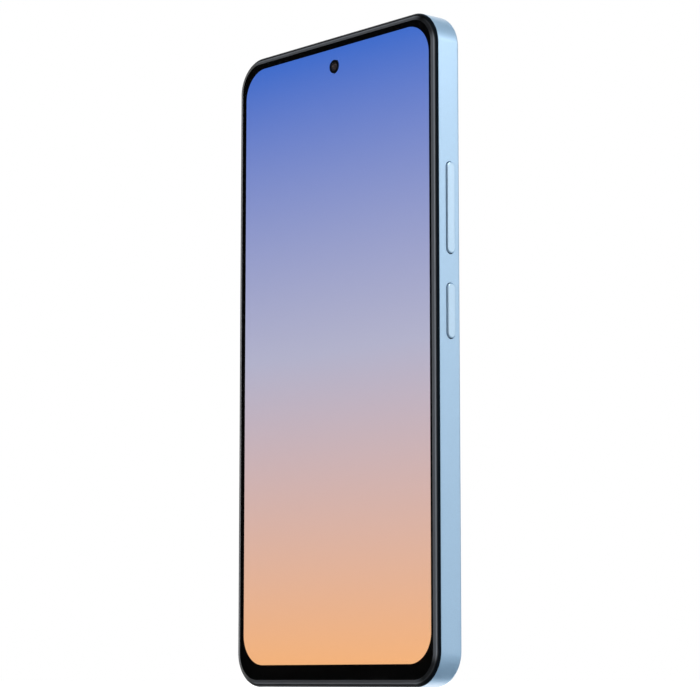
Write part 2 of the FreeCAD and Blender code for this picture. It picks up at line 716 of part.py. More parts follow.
def side_frame():
    frame = Piece("side_frame")
    frame.pad("XZ", frame_front, back - frame_front, inset_outline(0), up=middle)
    rim = outer_loop("Y", back, -side, side, 0, top)
    frame.dress("Fillet", {"Radius": D.frame_back_round},
                lambda edge: rim(edge) or abs(edge.BoundBox.YMin - back.value) < 1e-4)
    rim_front = outer_loop("Y", frame_front, -side, side, 0, top)
    frame.dress("Fillet", {"Radius": D.frame_front_round},
                lambda edge: rim_front(edge) or abs(edge.BoundBox.YMax - frame_front.value) < 1e-4)
    frame.cut("XZ", frame_front, plate_back - frame_front, inset_outline(D.frame_lip), up=middle)
    frame.cut("XZ", plate_back, back - plate_back, inset_outline(D.frame_wall), up=middle)
    frame.cut("XZ", cover_seat, back - cover_seat, inset_outline(D.cover_inset), up=middle)
    wall = D.frame_wall + D.cover_inset
    for length, height in ((D.power_length, D.power_height), (D.volume_length, D.volume_height)):
        frame.cut("YZ", side, wall, upright_slot(length + 2 * D.key_end_gap, D.key_width + 2 * D.key_gap),
                  across=opening_line, up=height, towards=-1)
    frame.cut("YZ", -side, wall,
              upright_slot(D.tray_head_length + 2 * D.tray_gap, D.tray_head_width + 2 * D.tray_gap),
              across=opening_line, up=D.tray_height)
    frame.cut("YZ", -side, wall, circle(D.pin_diameter), across=opening_line, up=rod_height)
    frame.cut("XY", 0, D.frame_wall, level_slot(D.port_width + 2 * D.port_gap, D.port_height + 2 * D.port_gap),
              up=opening_line)
    for number in range(5):
        frame.cut("XY", 0, D.frame_wall, circle(D.sound_hole),
                  across=D.sound_start + number * D.sound_pitch, up=opening_line)
    frame.cut("XY", 0, D.frame_wall, circle(D.mic_hole), across=D.bottom_mic_across, up=opening_line)
    frame.cut("XY", top, D.frame_wall, circle(D.mic_hole), across=D.top_mic_across, up=opening_line,
              towards=-1)
    frame.cut("XY", top, D.frame_wall, circle(D.jack_collar + 2 * D.seat_gap), across=D.jack_across,
              up=opening_line, towards=-1)
    frame.cut("XY", top, D.frame_wall, circle(D.infrared_diameter + 2 * D.seat_gap),
              across=D.infrared_across, up=opening_line, towards=-1)
    keep(frame)


def mid_plate():
    """Metal plate behind the display, with the threaded bosses of the brackets."""
    plate = Piece("mid_plate")
    plate.pad("XZ", plate_front, D.plate_thickness, inset_outline(D.frame_lip, D.seat_gap), up=middle)
    for across, height in UPPER_SCREWS + LOWER_BOARD_SCREWS + [MOTOR_SIDE_SCREW]:
        plate.pad("XZ", plate_back, D.board_standoff, circle(D.boss_diameter), across=across, up=height)
        plate.cut("XZ", plate_front, D.plate_thickness + D.board_standoff, circle(D.screw_diameter),
                  across=across, up=height)
    plate.cut("XZ", plate_front, D.plate_thickness, circle(D.nose_diameter + 2 * D.nose_clearance),
              up=punch_height)
    plate.cut("XZ", plate_front, D.plate_thickness,
              rectangle(D.ribbon_width + 2 * D.board_clearance, D.ribbon_slot),
              across=D.display_ribbon_across, up=D.ribbon_slot_height)
    plate.cut("XZ", plate_front, D.plate_thickness, rectangle(D.earpiece_slit_length, D.channel_width),
              up=top - D.frame_wall - D.channel_width / 2)
    keep(plate)


# ---- back -----------------------------------------------------------------------------------------

def rear_cover():
    cover = Piece("rear_cover")
    cover.pad("XZ", cover_front, D.cover_thickness, inset_outline(D.cover_inset, D.cover_gap), up=middle)
    cover.dress("Chamfer", {"Size": D.cover_edge}, lambda edge: abs(edge.BoundBox.YMin - back.value) < 1e-4)
    for across, height in large_cameras:
        cover.cut("XZ", cover_front, D.cover_thickness, circle(D.ring_diameter + 2 * D.ring_gap),
                  across=across, up=height)
    cover.cut("XZ", cover_front, D.cover_thickness, circle(D.small_ring_diameter + 2 * D.ring_gap),
              across=close_camera[0], up=close_camera[1])
    cover.cut("XZ", cover_front, D.cover_thickness, circle(D.flash_diameter + 2 * D.ring_gap),
              across=flash[0], up=flash[1])
    keep(cover)


def rear_cover_tape():
    tape = Piece("rear_cover_tape")
    tape.pad("XZ", cover_seat, D.tape_thickness, inset_outline(D.cover_inset, D.cover_gap), up=middle)
    tape.cut("XZ", cover_seat, D.tape_thickness, inset_outline(D.frame_wall), up=middle)
    keep(tape)


def camera_island():
    island = Piece("camera_island")
    island.pad("XZ", back, D.island_thickness,
               rounded_rectangle(D.island_width, D.island_height, D.island_radius),
               across=D.island_across, up=island_middle)
    island.dress("Fillet", {"Radius": D.island_round},
                 lambda edge: abs(edge.BoundBox.YMin - island_back.value) < 1e-4)
    for across, height in large_cameras:
        island.cut("XZ", back, D.island_thickness, circle(D.ring_diameter), across=across, up=height)
    island.cut("XZ", back, D.island_thickness, circle(D.small_ring_diameter),
               across=close_camera[0], up=close_camera[1])
    island.cut("XZ", back, D.island_thickness, circle(D.flash_diameter), across=flash[0], up=flash[1])
    keep(island)


def window_ring(name, across, height, diameter, bore):
    """Metal ring with a ledge for its window, and the window."""
    window_back = ring_back - D.window_sink
    window_front = window_back - D.window_thickness
    ring = Piece(name + "_ring")
    ring.pad("XZ", cover_front, ring_back - cover_front, circle(diameter), across=across, up=height)
    ring.dress("Chamfer", {"Size": D.ring_gap}, lambda edge: edge.BoundBox.YMin > ring_back.value - 1e-4)
    ring.cut("XZ", cover_front, ring_back - cover_front, circle(bore - 2 * D.ring_ledge),
             across=across, up=height)
    ring.cut("XZ", window_front, ring_back - window_front, circle(bore), across=across, up=height)
    window = Piece(name + "_window")
    window.pad("XZ", window_front, D.window_thickness, circle(bore), across=across, up=height)
    return ring.body, window.body


def camera_rings_and_windows():
    made = [window_ring("main", *large_cameras[0], D.ring_diameter, D.ring_bore),
            window_ring("wide", *large_cameras[1], D.ring_diameter, D.ring_bore),
            window_ring("close", *close_camera, D.small_ring_diameter, D.small_ring_bore)]
    keep(group("camera_rings", [ring for ring, window in made]))
    keep(group("camera_windows", [window for ring, window in made]))


def flash_pieces():
    led_back = bracket_back + D.flash_led_height
    lens = Piece("flash_lens")
    lens.pad("XZ", led_back, island_back - led_back, circle(D.flash_diameter), across=flash[0], up=flash[1])
    keep(lens)
    half = D.flash_led_size / 2
    keep(block("flash_led", (flash[0] - half, flash[0] + half), (bracket_back, led_back),
               (flash[1] - half, flash[1] + half)))


# ---- cameras --------------------------------------------------------------------------------------

def main_camera():
    """Housing with a well, and the lens barrel that focuses by sliding in it."""
    across, height = large_cameras[0]
    well_floor = plate_back + D.well_floor
    housing = Piece("main_camera_housing")
    housing.pad("XZ", plate_back, D.camera_depth, rectangle(D.main_camera_size, D.main_camera_size),
                across=across, up=height)
    housing.cut("XZ", well_floor, D.camera_depth - D.well_floor,
                circle(D.barrel_diameter + 2 * D.barrel_clearance), across=across, up=height)
    keep(housing)
    barrel_front = well_floor + D.barrel_lift
    barrel_back = barrel_front + D.barrel_length
    barrel = Piece("main_camera_barrel")
    barrel.pad("XZ", barrel_front, D.barrel_length, circle(D.barrel_diameter), across=across, up=height)
    barrel.cut("XZ", barrel_back - D.lens_thickness, D.lens_thickness,
               circle(D.barrel_diameter - 2 * D.barrel_wall), across=across, up=height)
    keep(barrel)
    lens = Piece("main_camera_lens")
    lens.pad("XZ", barrel_back - D.lens_thickness, D.lens_thickness,
             circle(D.barrel_diameter - 2 * D.barrel_wall), across=across, up=height)
    keep(lens)


def fixed_cameras():
    across, height = large_cameras[1]
    half = D.wide_camera_size / 2
    box = block("wide_camera_box", (across - half, across + half), (plate_back, plate_back + D.camera_depth),
                (height - half, height + half))
    nose = rod("wide_camera_nose", "Y", (across, plate_back + D.camera_depth, height),
               D.barrel_diameter / 2, 2 * D.lens_thickness)
    keep(join("wide_camera", box, nose))
    across, height = close_camera
    half = D.close_camera_size / 2
    box = block("close_camera_box", (across - half, across + half),
                (board_back, plate_back + D.camera_depth), (height - half, height + half))
    nose = rod("close_camera_nose", "Y", (across, plate_back + D.camera_depth, height),
               D.small_ring_bore / 2 - D.barrel_wall, 2 * D.lens_thickness)
    keep(join("close_camera", box, nose))


def front_camera():
    nose_front = glass_back + D.seat_gap
    camera = Piece("front_camera")
    camera.pad("XZ", plate_back, D.front_camera_depth, rectangle(D.front_camera_size, D.front_camera_size),
               up=punch_height)
    camera.pad("XZ", nose_front, plate_back - nose_front, circle(D.nose_diameter), up=punch_height)
    camera.cut("XZ", nose_front, D.front_lens_thickness, circle(D.front_lens_diameter), up=punch_height)
    keep(camera)
    lens = Piece("front_camera_lens")
    lens.pad("XZ", nose_front, D.front_lens_thickness, circle(D.front_lens_diameter), up=punch_height)
    keep(lens)


# ---- keys -----------------------------------------------------------------------------------------

def key_cap(name, length, height, flange_outside):
    """Key through the wall, with the flange that keeps it in."""
    flange_inside = flange_outside - D.flange_thickness
    key = Piece(name)
    key.pad("YZ", flange_outside, side + D.key_rise - flange_outside, upright_slot(length, D.key_width),
            across=opening_line, up=height)
    key.dress("Fillet", {"Radius": D.key_round},
              lambda edge: edge.BoundBox.XMin > (side + D.key_rise).value - 1e-4)
    key.pad("YZ", flange_inside, D.flange_thickness,
            upright_slot(length + 2 * D.flange_margin, D.key_width + 2 * D.flange_margin),
            across=opening_line, up=height)
    return key


def keys():
    power = key_cap("power_key", D.power_length, D.power_height, flange_back)
    power.pad("YZ", nub_tip, D.nub_length, circle(D.nub_diameter), across=opening_line, up=D.power_height)
    keep(power)
    rocker_back = inner_side - D.flange_gap
    rocker = key_cap("volume_key", D.volume_length, D.volume_height, rocker_back)
    rocker.pad("YZ", rocker_back, flange_back - rocker_back,
               rectangle(D.key_width + 2 * D.flange_margin, D.fulcrum_height),
               across=opening_line, up=D.volume_height)
    for sign in (-1, 1):
        rocker.pad("YZ", nub_tip, rocker_back - D.flange_thickness - nub_tip, circle(D.nub_diameter),
                   across=opening_line, up=D.volume_height + sign * D.nub_spacing)
    keep(rocker)


def key_switches():
    def dome(name, height):
        thing = rod(name, "X", (switch_face, opening_line, height), D.dome_diameter / 2, D.dome_height)
        return thing
    keep(dome("power_dome", D.power_height))
    keep(group("volume_domes", [dome("volume_dome_%d" % number, D.volume_height + sign * D.nub_spacing)
                                for number, sign in enumerate((-1, 1))]))
    low = D.power_height - D.power_length / 2 - D.carrier_end
    high = D.volume_height + D.volume_length / 2 + D.carrier_end
    keep(block("side_key_flex", (carrier_face, switch_face),
               (opening_line - D.dome_diameter / 2, opening_line + D.dome_diameter / 2), (low, high)))
    keep(block("side_key_carrier", (carrier_face - D.carrier_thickness, carrier_face),
               (plate_back, opening_line + D.carrier_width), (low, high)))


# ---- card tray ------------------------------------------------------------------------------------

def sim_tray():
    """Drawer for two small cards, with a rubber seal round its head."""
    neck = -side + D.tray_head_depth
    tray = Piece("tray_blank")
    tray.pad("YZ", -side, D.tray_head_depth, upright_slot(D.tray_head_length, D.tray_head_width),
             across=opening_line, up=D.tray_height)
    groove = upright_slot(D.tray_head_length - 2 * D.seal_depth, D.tray_head_width - 2 * D.seal_depth)
    groove_tool = Piece("tray_groove_core")
    groove_tool.pad("YZ", -side + D.seal_back, D.seal_width, groove, across=opening_line, up=D.tray_height)
    tray.pad("YZ", neck, D.tray_length, rectangle(D.tray_thickness, D.tray_width), across=opening_line,
             up=D.tray_height)
    first = neck + (D.tray_length - 2 * D.card_depth - D.card_pocket_wall) / 2 + D.card_depth / 2
    for number in range(2):
        centre = first + number * (D.card_depth + D.card_pocket_wall)
        tray.cut("XZ", opening_line - D.tray_thickness / 2, D.card_thickness,
                 rectangle(D.card_depth, D.card_width), across=centre, up=D.tray_height)
        tray.cut("XZ", opening_line - D.tray_thickness / 2, D.tray_thickness,
                 rectangle(D.card_depth - 2 * D.card_ledge, D.card_width - 2 * D.card_ledge),
                 across=centre, up=D.tray_height)
    band = Piece("tray_seal_band")
    band.pad("YZ", -side + D.seal_back, D.seal_width,
             upright_slot(D.tray_head_length + 2 * D.tray_gap - 2 * D.seal_clearance,
                          D.tray_head_width + 2 * D.tray_gap - 2 * D.seal_clearance),
             across=opening_line, up=D.tray_height)
    seal = take_away("sim_tray_seal", band.body, groove_tool.body)
    keep(take_away("sim_tray", tray.body, seal))
    keep(seal)


def sim_reader():
    """Steel shell that the tray slides in, with the guides of the eject rod."""
    low = -inner_side + D.reader_gap
    high = low + D.reader_length
    half_slot = D.tray_width / 2 + D.slide_gap
    slot_thickness = D.tray_thickness + 2 * D.slide_gap
    outer_back = reader_floor + slot_thickness + D.reader_wall
    outer_width = 2 * half_slot + 2 * D.reader_side
    reader = Piece("sim_reader")
    reader.pad("XZ", board_back, outer_back - board_back, rectangle(D.reader_length, outer_width),
               across=(low + high) / 2, up=D.tray_height)
    reader.cut("YZ", low, D.reader_length, rectangle(slot_thickness, 2 * half_slot),
               across=opening_line, up=D.tray_height)
    foot = D.tray_height - half_slot - D.reader_side
    guide_bottom = rod_height - D.rod_diameter / 2 - D.reader_side
    guide_back = opening_line + D.rod_diameter / 2 + D.reader_side / 2
    for start in (low, high - D.rod_guide):
        reader.pad("XZ", board_back, guide_back - board_back, rectangle(D.rod_guide, foot - guide_bottom),
                   across=start + D.rod_guide / 2, up=(foot + guide_bottom) / 2)
    reader.cut("YZ", low, D.reader_length, circle(D.rod_diameter + 2 * D.rod_fit),
               across=opening_line, up=rod_height)
    keep(reader)


def eject_parts():
    keep(rod("eject_rod", "X", (rod_start, opening_line, rod_height), D.rod_diameter / 2, D.rod_length))
    lever_front = opening_line - D.lever_thickness / 2
    length = D.lever_arm + D.lever_reach + D.lever_width
    lever = Piece("eject_lever")
    lever.pad("XZ", lever_front, D.lever_thickness, upright_slot(length, D.lever_width),
              across=lever_middle, up=rod_height + (D.lever_arm + D.lever_reach) / 2)
    lever.pad("XZ", lever_front, D.lever_thickness, circle(D.lever_width + D.pivot_diameter),
              across=lever_middle, up=pivot_height)
    lever.cut("XZ", lever_front, D.lever_thickness, circle(D.pivot_diameter + 2 * D.pivot_fit),
              across=lever_middle, up=pivot_height)
    keep(lever)
    shoulder_front = lever_front - D.rest_gap
    head_front = lever_front + D.lever_thickness + D.rest_gap
    pivot = Piece("eject_pivot")
    pivot.pad("XZ", board_back, shoulder_front - board_back, circle(D.pivot_head), across=lever_middle,
              up=pivot_height)
    pivot.pad("XZ", shoulder_front, head_front - shoulder_front, circle(D.pivot_diameter),
              across=lever_middle, up=pivot_height)
    pivot.pad("XZ", head_front, D.pivot_head_height, circle(D.pivot_head), across=lever_middle,
              up=pivot_height)
    keep(pivot)


# ---- boards and brackets --------------------------------------------------------------------------

def main_board():
    half = side - D.board_inset
    bottom = D.main_board_bottom
    high = top - D.main_board_from_top
    board = Piece("main_board")
    board.pad("XZ", board_front, D.board_thickness, rounded_rectangle(2 * half, high - bottom, D.board_corner),
              up=(high + bottom) / 2)
    cut_outs = [(large_cameras[0], D.main_camera_size), (large_cameras[1], D.wide_camera_size)]
    for (across, height), size in cut_outs:
        width = size + 2 * D.board_clearance
        board.cut("XZ", board_front, D.board_thickness, rectangle(width, width), across=across, up=height)
    cut_left(board, D.jack_across, D.jack_width, top - D.jack_depth - D.jack_end, high)
    notch_left = D.earpiece_across - D.earpiece_width / 2
    notch_right = D.front_camera_size / 2
    cut_left(board, (notch_left + notch_right) / 2, notch_right - notch_left, D.earpiece_bottom, high)
    for across, height in UPPER_SCREWS:
        board.cut("XZ", board_front, D.board_thickness, circle(D.screw_diameter + 2 * D.screw_clearance),
                  across=across, up=height)
    keep(board)


def cut_left(board, across, width, bottom, high):
    """Notch from the board's upper edge, with clearance round what stands in it."""
    low = as_size(bottom) - D.board_clearance
    board.cut("XZ", board_front, D.board_thickness, rectangle(width + 2 * D.board_clearance, high - low),
              across=across, up=(high + low) / 2)


def shield_cans():
    cans = []
    for number, (left, right, bottom, high) in enumerate(SHIELD_CANS):
        can = Piece("shield_can_%d" % number)
        can.pad("XZ", board_back, D.can_height, rectangle(right - left, high - bottom),
                across=(left + right) / 2, up=(bottom + high) / 2)
        can.cut("XZ", board_back, D.can_height - D.can_wall,
                rectangle(right - left - 2 * D.can_wall, high - bottom - 2 * D.can_wall),
                across=(left + right) / 2, up=(bottom + high) / 2)
        cans.append(can.body)
    keep(group("shield_cans", cans))


def lower_board():
    board = Piece("lower_board")
    width = D.lower_board_left + D.lower_board_right
    height = D.lower_board_top - D.lower_board_bottom
    board.pad("XZ", board_front, D.board_thickness, rectangle(width, height),
              across=(D.lower_board_right - D.lower_board_left) / 2,
              up=(D.lower_board_top + D.lower_board_bottom) / 2)
    notch = D.port_recess + D.port_depth + D.board_clearance
    board.cut("XZ", board_front, D.board_thickness,
              rectangle(D.port_width + 2 * D.board_clearance, notch - D.lower_board_bottom),
              up=(notch + D.lower_board_bottom) / 2)
    for across, spot in LOWER_BOARD_SCREWS:
        board.cut("XZ", board_front, D.board_thickness, circle(D.screw_diameter + 2 * D.screw_clearance),
                  across=across, up=spot)
    keep(board)


def drill_bracket(bracket, across, height, foot):
    """Post from the bracket down to what it stands on, and the screw's hole."""
    bracket.pad("XZ", foot, D.bracket_level - foot, circle(D.post_diameter), across=across, up=height)
    bracket.cut("XZ", foot, bracket_back - foot, circle(D.screw_diameter + 2 * D.screw_clearance),
                across=across, up=height)


def upper_bracket():
    half = side - D.board_inset
    high = top - D.main_board_from_top
    bracket = Piece("upper_bracket")
    bracket.pad("XZ", D.bracket_level, D.bracket_thickness,
                rounded_rectangle(2 * half, high - D.upper_bracket_bottom, D.board_corner),
                up=(high + D.upper_bracket_bottom) / 2)
    cameras = [(large_cameras[0], D.main_camera_size), (large_cameras[1], D.wide_camera_size),
               (close_camera, D.close_camera_size), ((0, punch_height), D.front_camera_size)]
    for (across, height), size in cameras:
        width = size + 2 * D.board_clearance
        bracket.cut("XZ", D.bracket_level, D.bracket_thickness, rectangle(width, width), across=across,
                    up=height)
    jack_bottom = top - D.jack_depth - D.jack_end - D.board_clearance
    bracket.cut("XZ", D.bracket_level, D.bracket_thickness,
                rectangle(D.jack_width + 2 * D.board_clearance, high - jack_bottom),
                across=D.jack_across, up=(high + jack_bottom) / 2)
    notch = D.upper_connector_height + D.connector_length + 2 * D.board_clearance - D.upper_bracket_bottom
    bracket.cut("XZ", D.bracket_level, D.bracket_thickness,
                rectangle(D.ribbon_width + 2 * D.board_clearance, notch),
                across=D.main_ribbon_across, up=D.upper_bracket_bottom + notch / 2)
    for across, height in UPPER_SCREWS:
        drill_bracket(bracket, across, height, board_back)
    keep(bracket)


def lower_bracket():
    left = side - D.board_inset
    width = left + D.lower_board_right
    bracket = Piece("lower_bracket")
    bracket.pad("XZ", D.bracket_level, D.bracket_thickness,
                rounded_rectangle(width, D.lower_bracket_top - D.lower_board_bottom, D.board_corner),
                across=(D.lower_board_right - left) / 2, up=(D.lower_bracket_top + D.lower_board_bottom) / 2)
    notch = D.port_recess + D.port_depth + D.board_clearance
    bracket.cut("XZ", D.bracket_level, D.bracket_thickness,
                rectangle(D.port_width + 2 * D.board_clearance, notch - D.lower_board_bottom),
                up=(notch + D.lower_board_bottom) / 2)
    for across, height in LOWER_BOARD_SCREWS:
        drill_bracket(bracket, across, height, board_back)
    drill_bracket(bracket, MOTOR_SIDE_SCREW[0], MOTOR_SIDE_SCREW[1], board_front)
    keep(bracket)


def bracket_screws():
    screws = []
    for number, (across, height) in enumerate(UPPER_SCREWS + LOWER_BOARD_SCREWS + [MOTOR_SIDE_SCREW]):
        shank = rod("screw_shank_%d" % number, "Y", (across, plate_back, height), D.screw_diameter / 2,
                    bracket_back - plate_back)
        head = rod("screw_head_%d" % number, "Y", (across, bracket_back, height),
                   D.screw_head_diameter / 2, D.screw_head_height)
        screws.append(join("bracket_screw_%d" % number, shank, head))
    keep(group("bracket_screws", screws))


def board_connectors():
    def connector(name, across, height):
        half = D.connector_width / 2
        reach = D.connector_length / 2
        return block(name, (across - half, across + half), (board_back, board_back + D.connector_height),
                     (height - reach, height + reach))

    def socket(name, across, height):
        return rod(name, "Y", (across, board_back, height), D.plug_diameter / 2, D.plug_height)

    keep(group("board_connectors", [
        connector("main_ribbon_socket", D.main_ribbon_across, D.lower_connector_height),
        connector("display_ribbon_socket", D.display_ribbon_across, D.lower_connector_height),
        connector("upper_ribbon_socket", D.main_ribbon_across, D.upper_connector_height),
        socket("lower_aerial_socket", D.cable_start, D.cable_bottom),
        socket("upper_aerial_socket", D.cable_end, D.cable_top)]))


def ribbon(name, across, line):
    """Flexible circuit: a line of (depth, height) points, thickened backwards and padded sideways."""
    points = [(depth, height) for depth, height in line]
    points += [(depth + D.flex_thickness, height) for depth, height in reversed(line)]
    strip = Piece(name)
    strip.pad("YZ", as_size(across) - D.ribbon_width / 2, D.ribbon_width, polygon(points))
    keep(strip)


def ribbons():
    seat = board_back + D.connector_height
    half = D.connector_length / 2
    battery_back = plate_back + D.tape_thickness + D.battery_thickness + D.tape_thickness
    battery_top = D.battery_bottom + D.battery_height
    low = D.lower_connector_height
    high = D.upper_connector_height
    ribbon("main_flex", D.main_ribbon_across, [
        (seat, low - half), (seat, low + 2 * half), (battery_back, D.battery_bottom - half),
        (battery_back, battery_top + half), (seat, high - half), (seat, high + half)])
    slot_top = D.ribbon_slot_height + D.ribbon_slot / 2
    ribbon("display_flex", D.display_ribbon_across, [
        (seat, low - half), (seat, low + 2 * half), (board_back, D.lower_board_top + D.board_clearance),
        (plate_back, slot_top - 2 * D.board_clearance), (plate_front, slot_top - D.board_clearance)])


def antenna_cable():
    """Thin aerial lead between the boards, bent round two corners."""
    level = board_back + D.plug_height + D.cable_radius
    lead = Piece("antenna_cable")
    path = lead.body.newObject("Sketcher::SketchObject", "antenna_cable_path")
    for feature in lead.body.Origin.OriginFeatures:
        if feature.Role == "XZ_Plane":
            path.AttachmentSupport = (feature, [""])
    path.MapMode = "FlatFace"
    bind(path, "AttachmentOffset.Base.z", -level)
    x0, x1, x2 = D.cable_start.value, D.cable_across.value, D.cable_end.value
    z0, z1, r = D.cable_bottom.value, D.cable_top.value, D.cable_bend.value
    lower = Part.Circle(vector(x1 + r, z0 + r), vector(0, 0, 1), r)
    upper = Part.Circle(vector(x1 + r, z1 - r), vector(0, 0, 1), r)
    path.addGeometry([Part.LineSegment(vector(x0, z0), vector(x1 + r, z0)),
                      Part.ArcOfCircle(lower, math.pi, 1.5 * math.pi),
                      Part.LineSegment(vector(x1, z0 + r), vector(x1, z1 - r)),
                      Part.ArcOfCircle(upper, 0.5 * math.pi, math.pi),
                      Part.LineSegment(vector(x1 + r, z1), vector(x2, z1))], False)
    constrain(path, "Tangent", 0, 2, 1, 2)
    constrain(path, "Tangent", 1, 1, 2, 1)
    constrain(path, "Tangent", 2, 2, 3, 2)
    constrain(path, "Tangent", 3, 1, 4, 1)
    for number, kind in ((0, "Horizontal"), (2, "Vertical"), (4, "Horizontal")):
        constrain(path, kind, number)
    constrain(path, "Radius", 1, size=D.cable_bend)
    constrain(path, "Radius", 3, size=D.cable_bend)
    constrain(path, "DistanceX", -1, 1, 0, 1, size=D.cable_start)
    constrain(path, "DistanceY", -1, 1, 0, 1, size=D.cable_bottom)
    constrain(path, "DistanceX", -1, 1, 2, 1, size=D.cable_across)
    constrain(path, "DistanceX", -1, 1, 4, 2, size=D.cable_end)
    constrain(path, "DistanceY", -1, 1, 4, 2, size=D.cable_top)
    section = lead.sketch("YZ", D.cable_start, circle(2 * D.cable_radius), level, D.cable_bottom)
    doc.recompute()
    pipe = lead.body.newObject("PartDesign::AdditivePipe", "antenna_cable_pipe")
    pipe.Profile = section
    pipe.Spine = path
    doc.recompute()
    keep(lead)


def battery():
    width = D.battery_left + D.battery_right
    across = (D.battery_right - D.battery_left) / 2
    centre = D.battery_bottom + D.battery_height / 2
    cell_front = plate_back + D.tape_thickness
    cell = Piece("battery")
    cell.pad("XZ", cell_front, D.battery_thickness,
             rounded_rectangle(width, D.battery_height, D.battery_radius), across=across, up=centre)
    keep(cell)
    half = D.battery_tape_width / 2
    strips = []
    for number, share in enumerate((-0.25, 0.25)):
        spot = across + share * width
        strips.append(block("battery_strip_%d" % number, (spot - half, spot + half), (plate_back, cell_front),
                            (centre - 0.4 * D.battery_height, centre + 0.4 * D.battery_height)))
    keep(group("battery_tape", strips))


# ---- ports and sound ------------------------------------------------------------------------------

def charging_port():
    mouth = D.port_recess
    shell = Piece("port_shell")
    shell.pad("XY", mouth, D.port_depth, level_slot(D.port_width, D.port_height), up=opening_line)
    shell.cut("XY", mouth, D.port_depth,
              level_slot(D.port_width - 2 * D.port_wall, D.port_height - 2 * D.port_wall),
              up=opening_line)
    keep(shell)
    inner_end = mouth + D.port_depth
    tongue = Piece("port_tongue")
    tongue.pad("XY", inner_end - D.port_back, D.port_back,
               level_slot(D.port_width - 2 * D.port_wall, D.port_height - 2 * D.port_wall),
               up=opening_line)
    tongue.pad("XY", mouth + D.tongue_recess, D.port_depth - D.tongue_recess,
               rectangle(D.tongue_width, D.tongue_thickness), up=opening_line)
    keep(tongue)


def headphone_jack():
    bottom = top - D.jack_depth - D.jack_end
    jack = Piece("headphone_jack")
    jack.pad("XY", bottom, top - D.frame_wall - bottom, rectangle(D.jack_width, D.jack_thickness),
             across=D.jack_across, up=opening_line)
    jack.pad("XY", top - D.frame_wall, D.frame_wall, circle(D.jack_collar), across=D.jack_across,
             up=opening_line)
    jack.cut("XY", top, D.jack_depth, circle(D.jack_diameter), across=D.jack_across, up=opening_line,
             towards=-1)
    keep(jack)


def microphones():
    half = D.mic_size / 2
    mics = []
    for name, across, low in (("bottom_microphone", D.bottom_mic_across, D.lower_board_bottom),
                              ("top_microphone", D.top_mic_across, top - D.main_board_from_top - D.mic_size)):
        mics.append(block(name, (across - half, across + half), (board_back, board_back + D.mic_height),
                          (low, low + D.mic_size)))
    keep(group("microphones", mics))


def infrared_window():
    keep(rod("infrared_window", "Z", (D.infrared_across, opening_line, top - D.frame_wall),
             D.infrared_diameter / 2, D.frame_wall))


def earpiece():
    half = D.earpiece_width / 2
    keep(block("earpiece", (D.earpiece_across - half, D.earpiece_across + half),
               (plate_back, plate_back + D.earpiece_depth),
               (D.earpiece_bottom, D.earpiece_bottom + D.earpiece_height)))


def loudspeaker():
    """Box, lid, magnet, and the diaphragm with its coil on a rubber surround."""
    bottom = D.frame_wall + D.mesh_thickness
    across = D.speaker_left + D.speaker_width / 2
    centre = bottom + D.speaker_height / 2
    floor = plate_back + D.speaker_floor
    coil_width = D.magnet_width + 2 * D.coil_gap + 2 * D.coil_wall
    coil_height = D.magnet_height + 2 * D.coil_gap + 2 * D.coil_wall
    cone_width = coil_width + 2 * D.cone_margin
    cone_height = coil_height + 2 * D.cone_margin
    surround_width = cone_width + 2 * D.surround_width
    surround_height = cone_height + 2 * D.surround_width
    seat = floor + D.basket_height
    box = Piece("speaker_box")
    outline = rounded_rectangle(D.speaker_width, D.speaker_height, D.speaker_corner)
    box.pad("XZ", plate_back, D.speaker_depth, outline, across=across, up=centre)
    box.cut("XZ", floor, D.speaker_depth - D.speaker_floor,
            rounded_rectangle(D.speaker_width - 2 * D.speaker_wall, D.speaker_height - 2 * D.speaker_wall,
                              D.speaker_corner - D.speaker_wall), across=across, up=centre)
    box.pad("XZ", floor, D.basket_height, rectangle(surround_width, surround_height), across=across,
            up=centre)
    box.cut("XZ", floor, D.basket_height,
            rectangle(surround_width - 2 * D.basket_wall, surround_height - 2 * D.basket_wall),
            across=across, up=centre)
    outlet = 4 * D.sound_pitch + D.sound_hole
    box.cut("XY", bottom, D.speaker_wall, rectangle(outlet, D.sound_hole),
            across=D.sound_start + 2 * D.sound_pitch, up=opening_line)
    keep(box)
    lid = Piece("speaker_lid")
    lid.pad("XZ", plate_back + D.speaker_depth, D.lid_thickness, outline, across=across, up=centre)
    keep(lid)
    magnet = Piece("speaker_magnet")
    magnet.pad("XZ", floor, D.magnet_depth, rectangle(D.magnet_width, D.magnet_height), across=across,
               up=centre)
    keep(magnet)
    cone = Piece("speaker_diaphragm")
    cone.pad("XZ", seat, D.cone_thickness, rectangle(cone_width, cone_height), across=across, up=centre)
    cone.pad("XZ", seat - D.coil_depth, D.coil_depth, rectangle(coil_width, coil_height), across=across,
             up=centre)
    cone.cut("XZ", seat - D.coil_depth, D.coil_depth,
             rectangle(coil_width - 2 * D.coil_wall, coil_height - 2 * D.coil_wall), across=across,
             up=centre)
    keep(cone)
    surround = Piece("speaker_surround")
    surround.pad("XZ", seat, D.surround_thickness, rectangle(surround_width, surround_height),
                 across=across, up=centre)
    surround.cut("XZ", seat, D.surround_thickness, rectangle(cone_width, cone_height), across=across,
                 up=centre)
    keep(surround)
    half = outlet / 2 + D.mesh_margin
    spot = D.sound_start + 2 * D.sound_pitch
    keep(block("speaker_mesh", (spot - half, spot + half),
               (opening_line - D.sound_hole, opening_line + D.sound_hole), (D.frame_wall, bottom)))


# ---- vibration motor ------------------------------------------------------------------------------

